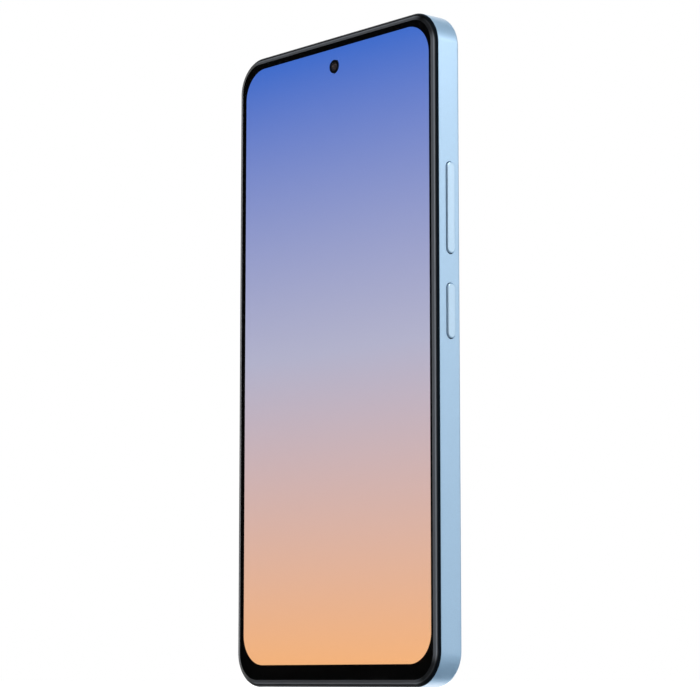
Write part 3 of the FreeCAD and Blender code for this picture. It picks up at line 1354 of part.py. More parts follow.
def vibration_motor():
    axis = plate_back + D.boot_floor + D.motor_radius
    face = D.motor_left + D.motor_length
    height = D.motor_height
    case = rod("motor_barrel", "X", (D.motor_left, axis, height), D.motor_radius, D.motor_length)
    bore = rod("motor_bearing", "X", (face - D.shaft_inside, axis, height), D.shaft_radius + D.shaft_fit,
               D.shaft_inside)
    keep(take_away("motor_case", case, bore))
    keep(rod("motor_shaft", "X", (face - D.shaft_inside + D.shaft_fit, axis, height), D.shaft_radius,
             D.shaft_inside - D.shaft_fit + D.shaft_outside))
    weight_start = face + D.weight_gap
    full = rod("weight_disc", "X", (weight_start, axis, height), D.weight_radius, D.weight_length)
    upper = block("weight_upper_half", (weight_start, weight_start + D.weight_length),
                  (axis - D.weight_radius, axis + D.weight_radius), (height, height + D.weight_radius))
    sector = take_away("weight_sector", full, upper)
    hub = rod("weight_hub_disc", "X", (weight_start, axis, height), D.weight_hub, D.weight_length)
    hole = rod("weight_hole", "X", (weight_start, axis, height), D.shaft_radius, D.weight_length)
    keep(take_away("motor_weight", join("weight_solid", sector, hub), hole))
    boot_start = D.motor_left + (D.motor_length - D.boot_length) / 2
    half = D.boot_width / 2
    cradle = block("boot_block", (boot_start, boot_start + D.boot_length),
                   (plate_back, plate_back + D.boot_height), (height - half, height + half))
    pocket = rod("boot_pocket", "X", (boot_start, axis, height), D.motor_radius, D.boot_length)
    keep(take_away("motor_boot", cradle, pocket))


for build in (cover_glass, display_panel, front_bezel, earpiece_mesh, side_frame, mid_plate, rear_cover,
              rear_cover_tape, camera_island, camera_rings_and_windows, flash_pieces, main_camera,
              fixed_cameras, front_camera, keys, key_switches, sim_tray, sim_reader, eject_parts,
              main_board, shield_cans, lower_board, upper_bracket, lower_bracket, bracket_screws,
              board_connectors, ribbons, antenna_cable, battery, charging_port, headphone_jack,
              microphones, infrared_window, earpiece, loudspeaker, vibration_motor):
    build()

doc.recompute()
for thing in doc.Objects:
    if "Invalid" in thing.State or "Error" in thing.State:
        raise RuntimeError("%s could not be made: %s" % (thing.Label, thing.State))
for name, thing in nodes.items():
    if thing.Shape.isNull() or not thing.Shape.isValid() or not thing.Shape.Solids:
        raise RuntimeError("%s has no valid solid" % name)

os.makedirs("parts", exist_ok=True)
for name, thing in nodes.items():
    thing.Shape.exportStep("parts/%s.step" % name)
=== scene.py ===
import json
import math

import bmesh
import bpy
from bpy.props import FloatProperty, FloatVectorProperty, PointerProperty
from mathutils import Matrix, Vector


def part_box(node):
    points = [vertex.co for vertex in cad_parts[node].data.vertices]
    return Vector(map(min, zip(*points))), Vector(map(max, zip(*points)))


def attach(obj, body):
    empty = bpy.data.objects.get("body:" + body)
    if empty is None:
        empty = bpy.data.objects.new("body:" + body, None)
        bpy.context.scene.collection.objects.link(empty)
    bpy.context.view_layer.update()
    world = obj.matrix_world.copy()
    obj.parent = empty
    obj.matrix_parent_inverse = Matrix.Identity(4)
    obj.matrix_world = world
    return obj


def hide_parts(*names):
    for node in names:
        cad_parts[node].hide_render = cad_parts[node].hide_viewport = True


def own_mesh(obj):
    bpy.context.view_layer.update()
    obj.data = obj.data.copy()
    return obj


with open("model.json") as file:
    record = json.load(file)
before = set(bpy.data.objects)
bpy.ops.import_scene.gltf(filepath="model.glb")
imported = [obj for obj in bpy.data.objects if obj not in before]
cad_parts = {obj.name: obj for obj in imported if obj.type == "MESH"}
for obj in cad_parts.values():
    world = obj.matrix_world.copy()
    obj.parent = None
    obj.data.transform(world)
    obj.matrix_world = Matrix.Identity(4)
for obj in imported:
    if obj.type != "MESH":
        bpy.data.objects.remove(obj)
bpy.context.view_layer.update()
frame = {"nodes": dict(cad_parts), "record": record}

bl_info = {
    "name": "Touchscreen phone",
    "version": (1, 0, 0),
    "blender": (4, 5, 0),
    "location": "3D View > Sidebar > Phone",
    "description": "Builds the visible pieces of a slim touchscreen phone round its packed frame",
    "category": "Add Mesh",
}

# Shapes are drawn in millimetres and brought to metres when a piece is finished.
MM = 0.001
WELD = 1e-5
SPREAD = 10.0
ROUND_STEPS = 16
HOLE_STEPS = 12
SMOOTH_ANGLE = math.radians(32)

PLANES = {
    "XZ": Matrix(((1, 0, 0, 0), (0, 0, -1, 0), (0, 1, 0, 0), (0, 0, 0, 1))),
    "YZ": Matrix(((0, 0, 1, 0), (1, 0, 0, 0), (0, 1, 0, 0), (0, 0, 0, 1))),
    "XY": Matrix.Identity(4),
}


def at(plane, level, across=0.0, up=0.0):
    """The point at a level of a plane, some way across it and up it."""
    return {"XZ": Vector((across, level, up)), "YZ": Vector((level, across, up)),
            "XY": Vector((across, up, level))}[plane]


def placed(name, data):
    """An object with this data, put in the scene."""
    thing = bpy.data.objects.new(name, data)
    bpy.context.scene.collection.objects.link(thing)
    return thing


class Box:
    """Where a CAD node is, in millimetres."""

    def __init__(self, node):
        low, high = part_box(node)
        self.low = low / MM
        self.high = high / MM
        self.middle = (self.low + self.high) / 2
        self.size = self.high - self.low


BODY = Box("side_frame")
GLASS = Box("cover_glass")
RIM = Box("front_bezel")
PANEL = Box("display_panel")
COVER = Box("rear_cover")
ISLAND = Box("camera_island")
RINGS = Box("camera_rings")
FLASH = Box("flash_lens")
TRAY = Box("sim_tray")
PORT = Box("port_shell")

HALF_WIDTH = 37.475
HEIGHT = 161.11
MIDDLE = HEIGHT / 2
CORNER = 8.5


# ---- shapes ----

class Shape:
    """A closed shape in the making, drawn by mesh operators in millimetres."""

    def __init__(self):
        self.bm = bmesh.new()

    def outline(self, plane, level, width, height, radius, across=0.0, up=0.0, steps=ROUND_STEPS):
        """One flat face with four round corners: a circle whose quarters are pushed apart."""
        half_step = math.pi / (4 * steps)
        made = bmesh.ops.create_circle(self.bm, cap_ends=True, cap_tris=False, segments=4 * steps,
                                       radius=radius / math.cos(half_step),
                                       matrix=Matrix.Rotation(half_step, 4, "Z"))
        points = made["verts"]
        for axis, reach in ((0, width / 2 - radius), (1, height / 2 - radius)):
            for sign in (-1, 1):
                push = Vector((0, 0, 0))
                push[axis] = sign * reach
                bmesh.ops.translate(self.bm, verts=[v for v in points if sign * v.co[axis] > 0], vec=push)
        place = Matrix.Translation(at(plane, level, across, up)) @ PLANES[plane]
        bmesh.ops.transform(self.bm, matrix=place, verts=points)
        return points[0].link_faces[0]

    def body_outline(self, level, inset):
        """The phone's outline, drawn in by an inset, with corners that keep their centres."""
        return self.outline("XZ", level, 2 * (HALF_WIDTH - inset), HEIGHT - 2 * inset, CORNER - inset,
                            up=MIDDLE)

    def loft(self, faces, closed=False):
        """Joins flat outlines in order. A closed loft goes back to the first and keeps no end.
        Each pair is held apart while it is joined, because two outlines in one plane join crosswise."""
        self.bm.normal_update()
        normal = faces[0].normal.copy()
        loops = [list(face.edges) for face in faces]
        levels = [face.calc_center_median().dot(normal) for face in faces]
        unwanted = faces if closed else faces[1:-1]
        if unwanted:
            bmesh.ops.delete(self.bm, geom=list(unwanted), context="FACES_ONLY")
        pairs = list(zip(range(len(loops)), range(1, len(loops))))
        if closed:
            pairs.append((len(loops) - 1, 0))
        for first, second in pairs:
            points = list({point for edge in loops[second] for point in edge.verts})
            apart = normal * (SPREAD if levels[second] >= levels[first] else -SPREAD)
            bmesh.ops.translate(self.bm, verts=points, vec=apart)
            bmesh.ops.bridge_loops(self.bm, edges=loops[first] + loops[second])
            bmesh.ops.translate(self.bm, verts=points, vec=-apart)
        bmesh.ops.recalc_face_normals(self.bm, faces=self.bm.faces)
        return loops

    def stack(self, plane, rows, across=0.0, up=0.0, steps=ROUND_STEPS, closed=False):
        """A loft through outlines with round corners, each given as level, width, height and radius."""
        return self.loft([self.outline(plane, *row, across, up, steps) for row in rows], closed)

    def slab(self, plane, low, high, width, height, radius, across=0.0, up=0.0, steps=ROUND_STEPS):
        """A plate with round corners between two levels."""
        return self.stack(plane, [(level, width, height, radius) for level in (low, high)], across, up, steps)

    def mouth(self, plane, inner, face, flare, width, height, across=0.0, up=0.0):
        """A cutter for an opening in a wall, flared where it meets the wall's face."""
        radius = min(width, height) / 2
        out = flare if face > inner else -flare
        self.stack(plane, [(level, width + 2 * grow, height + 2 * grow, radius + grow) for level, grow in (
            (inner, 0), (face - out, 0), (face, flare), (face + out, 2 * flare))], across, up, HOLE_STEPS)

    def lathe(self, profile, across, up, closed=True, steps=64):
        """Turns a profile of (radius, level) points about an axis along Y."""
        points = [self.bm.verts.new((across + radius, level, up)) for radius, level in profile]
        pairs = list(zip(points, points[1:]))
        if closed:
            pairs.append((points[-1], points[0]))
        lines = [self.bm.edges.new(pair) for pair in pairs]
        bmesh.ops.spin(self.bm, geom=points + lines, cent=(across, 0, up), axis=(0, 1, 0),
                       angle=2 * math.pi, steps=steps, use_merge=True, use_normal_flip=False,
                       use_duplicate=False, dvec=(0, 0, 0))
        bmesh.ops.remove_doubles(self.bm, verts=self.bm.verts, dist=WELD)

    def soften(self, edges, size, steps=3):
        """Rounds a line of edges."""
        edges = [edge for edge in edges if edge.is_valid]
        if not edges:
            raise RuntimeError("there is no edge to soften")
        bmesh.ops.bevel(self.bm, geom=edges, offset=size, offset_type="OFFSET", segments=steps, profile=0.5,
                        affect="EDGES", material=-1, clamp_overlap=False)

    def mark(self, index, chosen):
        """Gives the faces that are chosen another of the piece's materials."""
        self.bm.normal_update()
        for face in self.bm.faces:
            if chosen(face.calc_center_median(), face.normal):
                face.material_index = index

    def clean(self):
        bmesh.ops.remove_doubles(self.bm, verts=self.bm.verts, dist=WELD)
        bmesh.ops.recalc_face_normals(self.bm, faces=self.bm.faces)

    def as_object(self):
        self.clean()
        mesh = bpy.data.meshes.new("working")
        self.bm.to_mesh(mesh)
        return placed("working", mesh)

    def combine(self, other, operation="DIFFERENCE"):
        """Takes another closed shape away, or joins it on."""
        ours, theirs = self.as_object(), other.as_object()
        step = ours.modifiers.new("combine", "BOOLEAN")
        step.operation = operation
        step.solver = "EXACT"
        step.object = theirs
        result = bpy.data.meshes.new_from_object(
            ours.evaluated_get(bpy.context.evaluated_depsgraph_get()))
        if not result.polygons:
            raise RuntimeError("combining two shapes left nothing")
        self.bm.free()
        self.bm = bmesh.new()
        self.bm.from_mesh(result)
        for thing in (ours, theirs):
            mesh = thing.data
            bpy.data.objects.remove(thing)
            bpy.data.meshes.remove(mesh)
        bpy.data.meshes.remove(result)
        other.bm.free()

    def finish(self, name, slot, *nodes, body="phone", materials=()):
        """Turns the shape into a piece of the phone, in metres and in place of some CAD nodes.
        Its materials are the slot's own finish, unless others are given."""
        self.clean()
        bmesh.ops.transform(self.bm, matrix=Matrix.Scale(MM, 4), verts=self.bm.verts)
        mesh = bpy.data.meshes.new(name)
        self.bm.to_mesh(mesh)
        self.bm.free()
        mesh.shade_smooth()
        mesh.set_sharp_from_angle(angle=SMOOTH_ANGLE)
        for material in materials or [finish_of(slot)]:
            mesh.materials.append(material)
        piece = placed(name, mesh)
        even = piece.modifiers.new("even_shading", "WEIGHTED_NORMAL")
        even.keep_sharp = True
        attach(piece, body)
        if nodes:
            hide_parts(*nodes)
        return piece


def body_inset(point):
    """How far a point lies inside the phone's outline."""
    out_x = abs(point.x) - (HALF_WIDTH - CORNER)
    out_z = abs(point.z - MIDDLE) - (MIDDLE - CORNER)
    if out_x > 0 and out_z > 0:
        return CORNER - math.hypot(out_x, out_z)
    return CORNER - max(out_x, out_z)


# ---- finishes ----

def tint(red, green, blue):
    """A colour given as on a screen, from 0 to 255, brought to linear light."""
    linear = []
    for number in (red, green, blue):
        share = number / 255
        linear.append(share / 12.92 if share <= 0.04045 else ((share + 0.055) / 1.055) ** 2.4)
    return (*linear, 1.0)


def shaded(colour, strength=1.0, lift=0.0):
    """A colour made darker or lighter, and opaque."""
    return tuple(min(1.0, number * strength + lift) for number in colour[:3]) + (1.0,)


def math_node(operation, flipped=False):
    """A method of Value that adds one Math node."""
    def method(self, *others):
        numbers = (*others, self) if flipped else (self, *others)
        return self.finish.node("ShaderNodeMath", {"operation": operation}, numbers)
    return method


class Value:
    """A number that changes over a surface. Arithmetic on it adds Math nodes."""

    def __init__(self, finish, socket):
        self.finish = finish
        self.socket = socket

    __add__ = __radd__ = math_node("ADD")
    __sub__ = math_node("SUBTRACT")
    __rsub__ = math_node("SUBTRACT", flipped=True)
    __mul__ = __rmul__ = math_node("MULTIPLY")
    __truediv__ = math_node("DIVIDE")
    __abs__ = math_node("ABSOLUTE")
    least = math_node("MINIMUM")
    most = math_node("MAXIMUM")
    root = math_node("SQRT")
    wave = math_node("SINE")

    def diagonal(self, other):
        return (self * self + other * other).root()

    def over(self, start, end):
        """Rises smoothly from 0 at start to 1 at end, which may be the lower of the two."""
        if start > end:
            return 1 - self.over(end, start)
        return self.finish.node("ShaderNodeMapRange", {"interpolation_type": "SMOOTHSTEP"},
                                {"Value": self, "From Min": start, "From Max": end})


class Nodes:
    """A tree of nodes in the making."""

    def __init__(self, tree):
        self.tree = tree

    def node(self, kind, settings=None, inputs=None, output=0):
        """Adds a node, sets it up, then fills its sockets with numbers or links."""
        made = self.tree.nodes.new(kind)
        for name, setting in (settings or {}).items():
            if name == "stops":
                ramp = made.color_ramp
                while len(ramp.elements) < len(setting):
                    ramp.elements.new(1.0)
                for element, (position, colour) in zip(ramp.elements, setting):
                    element.position = position
                    element.color = colour
            else:
                setattr(made, name, setting)
        pairs = inputs.items() if isinstance(inputs, dict) else enumerate(inputs or ())
        for place, number in pairs:
            if isinstance(number, Value):
                self.tree.links.new(number.socket, made.inputs[place])
            else:
                made.inputs[place].default_value = number
        return Value(self, made.outputs[output]) if made.outputs else None

    def mix(self, share, first, second):
        return self.node("ShaderNodeMix", {"data_type": "RGBA"}, {0: share, 6: first, 7: second}, output=2)


class Finish(Nodes):
    """A material made of nodes, on coordinates of the piece in millimetres."""

    def __init__(self, name, **constants):
        self.material = bpy.data.materials.new(name)
        self.material.use_nodes = True
        super().__init__(self.material.node_tree)
        self.shader = self.tree.nodes["Principled BSDF"]
        self.place = self.node("ShaderNodeTexCoord", output="Object")
        grown = self.node("ShaderNodeVectorMath", {"operation": "SCALE"}, {0: self.place, "Scale": 1 / MM})
        self.x, self.y, self.z = (self.node("ShaderNodeSeparateXYZ", {}, [grown], output=axis)
                                  for axis in range(3))
        for name, number in constants.items():
            self.shader.inputs[name.replace("_", " ")].default_value = number

    def feed(self, socket, value):
        self.tree.links.new(value.socket, self.shader.inputs[socket])
        return self

    def noise(self, size, detail=1.0, stretch=(1.0, 1.0, 1.0)):
        """Even noise from 0 to 1 whose features are about that many millimetres across."""
        place = self.node("ShaderNodeMapping", {}, {"Vector": self.place, "Scale": stretch})
        return self.node("ShaderNodeTexNoise", {}, {"Vector": place, "Scale": 1 / (size * MM),
                                                    "Detail": detail})

    def ramp(self, value, low, high, stops):
        """Colours along a value, at stops given in the value's own numbers."""
        share = (value - low) / (high - low)
        placed = sorted(((number - low) / (high - low), colour) for number, colour in stops)
        return self.node("ShaderNodeValToRGB", {"stops": placed}, [share])

    def reach(self, places):
        """Distance in millimetres to the nearest of some axes along Y, each given as across and up."""
        nearest = None
        for across, up, *_ in places:
            distance = (self.x - across).diagonal(self.z - up)
            nearest = distance if nearest is None else nearest.least(distance)
        return nearest

    def look(self, colour, roughness, relief=None):
        """Feeds the colour, the roughness and any relief: its height, strength and depth in millimetres."""
        self.feed("Base Color", colour)
        self.feed("Roughness", roughness)
        if relief:
            height, strength, depth = relief
            self.feed("Normal", self.node("ShaderNodeBump", {}, {
                "Strength": strength, "Distance": depth * MM, "Height": height}))
        return self


def painted(name, colour, roughness=0.34, metal=0.6, flake=0.05):
    """Satin pearl paint: fine flakes, a soft drift of tone and a clear coat."""
    finish = Finish(name, Metallic=metal, Coat_Roughness=0.22, Coat_Weight=0.35)
    grain = finish.noise(0.12)
    drift = finish.noise(24.0)
    flakes = finish.mix(grain.over(0.35, 0.65), shaded(colour, 1 - flake), shaded(colour, 1 + flake))
    return finish.look(finish.mix(drift * 0.3, flakes, shaded(colour)), grain * 0.06 + (roughness - 0.03),
                       (grain, 0.04, 0.01))


def moulded(name, colour, roughness=0.5, relief=0.12, gloss=0.5):
    """Moulded plastic or rubber with a fine grain and a little wear."""
    finish = Finish(name, Specular_IOR_Level=gloss)
    grain = finish.noise(0.18, 2.0)
    drift = finish.noise(6.0, 2.0)
    return finish.look(finish.mix(drift, shaded(colour, 0.8), shaded(colour)),
                       grain * 0.12 + (roughness - 0.06), (grain, relief, 0.02))


def worked_metal(name, colour, roughness=0.3, stretch=(1.0, 1.0, 12.0), line=0.25):
    """Rolled or brushed metal, with lines along the axis that is stretched least."""
    finish = Finish(name, Metallic=1.0)
    lines = finish.noise(line * 6, 3.0, stretch)
    stain = finish.noise(5.0, 2.0)
    return finish.look(finish.mix(stain, shaded(colour, 0.82), shaded(colour)),
                       lines * 0.16 + (roughness - 0.08), (lines, 0.08, 0.01))


def turned_metal(name, colour):
    """Metal turned on a lathe: fine rings round each of the camera openings."""
    finish = Finish(name, Metallic=0.9, Coat_Weight=0.2, Coat_Roughness=0.15)
    rings = (finish.reach(RING_PLACES) * 60.0).wave() * 0.5 + 0.5
    fine = finish.noise(0.1)
    return finish.look(finish.mix(rings, shaded(colour, 0.9), shaded(colour)),
                       rings * 0.06 + fine * 0.05 + 0.16, (rings, 0.05, 0.004))


def clear_glass(name):
    """Front glass, with the faint uneven gloss of a wiped surface."""
    finish = Finish(name, Base_Color=(1, 1, 1, 1), Transmission_Weight=1.0, IOR=1.5)
    smears = finish.noise(9.0, 3.0, (1.0, 1.0, 0.4))
    return finish.feed("Roughness", smears.over(0.45, 0.8) * 0.015)


def glass_edge():
    """Ground slope of the front glass: grey that is partly its own tone and partly a painted reflection of
    soft light, with a painted highlight along its arris, painted shade falling to black at its outer margin,
    and painted shade in the corners and along the top edge, where that reflection fades.
    """
    grey = bpy.context.scene.phone_colours.glass_edge
    finish = Finish("glass_edge", Specular_IOR_Level=0.3, Coat_Weight=0.1, Coat_Roughness=0.1)
    top, foot = GLASS.low.y, GLASS.low.y + bpy.context.scene.phone_sizes.glass_drop / MM
    # Stops from the top of the slope to its foot: the grey band, a painted highlight on the arris, then
    # painted shade down to near black.
    painted_light_stops = [(top + (foot - top) * share, shaded(grey, strength)) for share, strength in (
        (0.0, 0.9), (0.50, 1.0), (0.60, 2.5), (0.70, 1.9), (0.82, 0.42), (1.0, 0.08))]
    grain = finish.noise(0.1)
    # Painted shade: the slope turns black towards the round corners and a little darker along the top edge.
    out_x = abs(finish.x) - (HALF_WIDTH - CORNER)
    out_z = abs(finish.z - MIDDLE) - (MIDDLE - CORNER)
    painted_top_shade = (finish.z - MIDDLE).over(MIDDLE - 3.0, MIDDLE - 1.5)
    corner = out_x.least(out_z).over(0.4, 3.4) * 0.8 + painted_top_shade * 0.15
    slope = finish.ramp(finish.y, top, foot, painted_light_stops)
    return finish.look(finish.mix(grain * 0.1 + corner, slope, (0, 0, 0, 1)), grain * 0.06 + 0.36)


def border_print():
    """Black ink printed on the back of the glass round the picture."""
    finish = Finish("border_print", Specular_IOR_Level=0.1)
    grain = finish.noise(0.15)
    return finish.look(finish.mix(grain, tint(2, 2, 3), tint(5, 5, 7)), grain * 0.1 + 0.6)


def picture_area(sizes):
    """Half the width of the lit picture, its foot, its top and its corner radius, in millimetres."""
    edge = sizes.unlit_edge / MM
    return (PANEL.size.x / 2 - edge, PANEL.low.z + sizes.unlit_chin / MM, PANEL.high.z - edge,
            sizes.picture_corner / MM)


def plain_picture(name):
    """The lit picture: a plain upright gradient between three colours, with nothing drawn on it."""
    colours = bpy.context.scene.phone_colours
    finish = Finish(name, Base_Color=(0.004, 0.004, 0.006, 1), Roughness=0.4,
                    Emission_Strength=colours.screen_brightness)
    half_width, low, high, corner = picture_area(bpy.context.scene.phone_sizes)
    picture = finish.ramp(finish.z, low, high, [
        (low, shaded(colours.picture_foot)), ((low + high) / 2, shaded(colours.picture_middle)),
        (high, shaded(colours.picture_top))])
    out_x = (abs(finish.x) - (half_width - corner)).most(0.0)
    out_z = (abs(finish.z - (low + high) / 2) - ((high - low) / 2 - corner)).most(0.0)
    lit = out_x.diagonal(out_z).over(corner + 0.03, corner - 0.03)
    return finish.feed("Emission Color", finish.mix(lit, tint(1, 1, 2), picture))


def rear_glass(name, colour):
    """Back panel: pearl colour under gloss, paler towards the camera plate."""
    finish = Finish(name, Coat_Weight=1.0, Coat_Roughness=0.05, Metallic=0.15)
    drift = finish.noise(40.0)
    sweep = ((finish.z + 0.6 * finish.x) / 150.0 + drift * 0.3).over(0.1, 1.2)
    spark = finish.noise(0.09).over(0.62, 0.7)
    base = finish.mix(sweep, shaded(colour, 0.86), shaded(colour, 1.16, 0.02))
    return finish.look(finish.mix(spark * 0.25, base, (0.9, 0.95, 1.0, 1.0)), drift * 0.05 + 0.2)


def coated_glass(name, colour, grazing_reflection_tint):
    """Lens glass with a painted reflection: its colour turns from the middle colour towards a tinted
    reflection colour as the surface turns away from view.
    """
    finish = Finish(name, Coat_Weight=1.0, Coat_Roughness=0.02, Specular_IOR_Level=0.8)
    # Painted reflection: the tint that the coated surface reflects is painted into the colour, strongest
    # where the lens is seen at a grazing angle.
    facing = finish.node("ShaderNodeLayerWeight", {}, {"Blend": 0.35}, output="Facing")
    soft = finish.noise(2.0)
    return finish.look(finish.mix(facing.over(0.0, 0.55) * 0.8 + soft * 0.1, colour, grazing_reflection_tint),
                       soft * 0.02 + 0.03)


def window_glass(name):
    """Sapphire-like window over a camera, lightly smoked."""
    finish = Finish(name, Base_Color=(0.62, 0.66, 0.72, 1), Transmission_Weight=1.0, IOR=1.6)
    return finish.feed("Roughness", finish.noise(2.0, 2.0) * 0.02)


def ribbed_black(name, pitch=0.28):
    """Matt black lens barrel with fine light-trapping grooves round each camera; the colour follows the
    grooves, with painted shade in their hollows and a painted highlight on their crests.
    """
    finish = Finish(name, Specular_IOR_Level=0.3)
    reach = finish.reach(RING_PLACES + [(0.0, PUNCH)])
    grooves = (reach * (2 * math.pi / pitch)).wave() * 0.5 + 0.5
    # Painted light and shade: near black where the groove relief is low, dark grey where it is high.
    return finish.look(finish.mix(grooves, tint(9, 9, 10), tint(26, 26, 28)), grooves * 0.15 + 0.45,
                       (grooves, 0.3, 0.04))


def woven_mesh(name, pitch=0.22):
    """Acoustic mesh: a plain weave of fine black wires, painted dark grey where the relief rises as a painted
    highlight, and near black where it sinks, partly the dark inside seen through the gaps and partly painted
    shade.
    """
    finish = Finish(name, Metallic=0.5)
    turn = math.pi / pitch
    weave = abs((finish.x * turn).wave()) * abs(((finish.z + finish.y) * turn).wave())
    # Painted highlight on the raised wires, near black in the low parts: the dark inside through the gaps,
    # and painted shade.
    return finish.look(finish.mix(weave.over(0.1, 0.6), tint(74, 76, 80), tint(12, 12, 14)),
                       weave * 0.2 + 0.4, (1 - weave, 0.5, 0.05))


def circuit_board(name):
    """Solder mask over copper tracks, with gold pads where a noise cell peaks."""
    finish = Finish(name, Coat_Weight=0.3, Coat_Roughness=0.2)
    cells = finish.node("ShaderNodeTexVoronoi", {"distance": "MANHATTAN", "feature": "F1"},
                        {"Vector": finish.place, "Scale": 420.0})
    across = abs((finish.x * 2.4).wave()).over(0.82, 0.94)
    along = abs((finish.z * 2.1).wave()).over(0.85, 0.95)
    patch = finish.noise(5.0, 2.0)
    tracks = across * patch.over(0.45, 0.52) + along * patch.over(0.52, 0.45)
    mask = finish.mix(tracks.least(1.0) * 0.6, tint(8, 46, 38), tint(28, 92, 70))
    pads = cells.over(0.16, 0.12) * patch.over(0.5, 0.6)
    finish.feed("Metallic", pads * 0.9)
    return finish.look(finish.mix(pads, mask, tint(214, 172, 92)), 0.42 - pads * 0.14,
                       (tracks.least(1.0), 0.2, 0.02))


def ribbon_film(name):
    """Amber film of a ribbon cable, with copper tracks showing through it."""
    finish = Finish(name, Coat_Weight=0.5, Coat_Roughness=0.15)
    tracks = abs((finish.x * 5.0).wave()).over(0.55, 0.7)
    patch = finish.noise(4.0)
    return finish.look(finish.mix(tracks * 0.8, tint(70, 40, 14), tint(176, 104, 42)), patch * 0.12 + 0.3,
                       (tracks, 0.2, 0.02))


def wrapped_foil(name):
    """Battery pouch: dull foil with soft creases, painted darker where their relief sinks as painted shade,
    and a plain lighter field.
    """
    finish = Finish(name, Metallic=0.35)
    creases = finish.noise(7.0, 4.0)
    field = abs(finish.x).over(24.0, 23.7) * abs(finish.z - 68.5).over(34.0, 33.7)
    # Painted shade: the foil is darker where the crease relief is low.
    base = finish.mix(creases, tint(34, 35, 38), tint(52, 53, 57))
    return finish.look(finish.mix(field * 0.8, base, tint(196, 198, 202)), creases * 0.2 + 0.4,
                       (creases, 0.4, 0.12))


def tongue_contacts(name):
    """Port tongue in black plastic with two rows of gold contacts."""
    finish = Finish(name)
    bars = abs((finish.x * (math.pi / 0.5)).wave()).over(0.5, 0.62)
    span = abs(finish.x).over(3.05, 2.95) * finish.z.over(6.2, 5.8)
    gold = bars * span
    grain = finish.noise(0.15)
    finish.feed("Metallic", gold)
    return finish.look(finish.mix(gold, tint(14, 14, 15), tint(222, 178, 96)), grain * 0.1 + 0.3,
                       (gold, 0.3, 0.03))


def drawer_metal(name, head, bare):
    """Card drawer: painted at its outer face, bare satin metal behind the seal."""
    finish = Finish(name, Coat_Weight=0.2, Coat_Roughness=0.2)
    outer = (finish.x + HALF_WIDTH).over(0.75, 0.65)
    grain = finish.noise(0.12)
    finish.feed("Metallic", 0.95 - outer * 0.7)
    return finish.look(finish.mix(outer, bare, shaded(head)), grain * 0.06 + 0.32, (grain, 0.04, 0.01))


def flash_lens_plastic(name):
    """Milky lens over the flash, a little yellow where the lamp sits."""
    finish = Finish(name, Transmission_Weight=0.6, IOR=1.5, Coat_Weight=0.4, Coat_Roughness=0.05)
    reach = finish.reach([(FLASH.middle.x, FLASH.middle.z)])
    return finish.look(finish.mix(reach.over(2.2, 0.9), tint(240, 240, 236), tint(250, 226, 140)),
                       finish.noise(0.3) * 0.1 + 0.12)


def make_finishes():
    """Every material slot of the phone, by name."""
    colours = bpy.context.scene.phone_colours
    makers = {
        "frame_paint": (painted, colours.frame),
        "key_paint": (painted, colours.keys, 0.32),
        "cover_glass": (clear_glass,),
        "display": (plain_picture,),
        "rim_black": (moulded, colours.rim, 0.4, 0.03, 0.12),
        "rear_cover": (rear_glass, colours.rear),
        "island_paint": (painted, colours.island, 0.26, 0.2),
        "ring_metal": (turned_metal, colours.rings),
        "camera_glass": (window_glass,),
        # Each coated glass gets its own colour, then the tint of its painted reflection at grazing view.
        "lens_glass": (coated_glass, tint(10, 10, 26), tint(52, 28, 84)),
        "flash_plastic": (flash_lens_plastic,),
        "camera_black": (ribbed_black,),
        "plate_metal": (worked_metal, tint(168, 171, 176), 0.38),
        "steel": (worked_metal, tint(186, 188, 190), 0.28, (1.0, 1.0, 8.0)),
        "tray_metal": (drawer_metal, colours.frame, tint(176, 179, 184)),
        "rubber_black": (moulded, tint(20, 20, 21), 0.75, 0.25),
        "inner_plastic": (moulded, tint(34, 35, 38), 0.5, 0.2),
        "board": (circuit_board,),
        "flex_film": (ribbon_film,),
        "battery_foil": (wrapped_foil,),
        "tape": (moulded, tint(28, 28, 30), 0.8, 0.1),
        "magnet": (worked_metal, tint(128, 130, 134), 0.35, (6.0, 6.0, 1.0)),
        "coil_copper": (worked_metal, tint(198, 118, 74), 0.32, (1.0, 8.0, 1.0)),
        "mesh_black": (woven_mesh,),
        "infrared_black": (coated_glass, tint(12, 5, 8), tint(52, 12, 20)),
    }
    return {slot: make(slot, *details) for slot, (make, *details) in makers.items()}


FINISHES = {}


def finish_of(slot):
    """The material of a slot. The whole set is made when the first is asked for."""
    if not FINISHES:
        FINISHES.update(make_finishes())
    return FINISHES[slot].material


# ---- places of the cameras ----

LARGE_RING = 6.4
SMALL_RING = 4.2
RING_PLACES = [
    (RINGS.high.x - LARGE_RING, RINGS.high.z - LARGE_RING, LARGE_RING),
    (RINGS.high.x - LARGE_RING, RINGS.low.z + LARGE_RING, LARGE_RING),
    (RINGS.low.x + SMALL_RING, RINGS.high.z - LARGE_RING, SMALL_RING),
]
FLASH_OPENING = 2.5
PUNCH = Box("front_camera_lens").middle.z


def camera_holes(plate, room=0.0):
    """Cutters through a plate for the rings and the flash, with some room across."""
    holes = Shape()
    for across, up, radius in RING_PLACES + [(FLASH.middle.x, FLASH.middle.z, FLASH_OPENING)]:
        wide = 2 * radius + room
        holes.slab("XZ", plate.low.y - 1.0, plate.high.y + 1.0, wide, wide, wide / 2, across, up)
    return holes


# ---- settings ----

def length(name, description, millimetres, most=20.0):
    return FloatProperty(name=name, description=description, default=millimetres * MM, min=0.0,
                         max=most * MM, precision=5, unit="LENGTH", subtype="DISTANCE")


def colour(name, description, default):
    return FloatVectorProperty(name=name, description=description, default=default[:3], size=3, min=0.0,
                               max=1.0, subtype="COLOR")


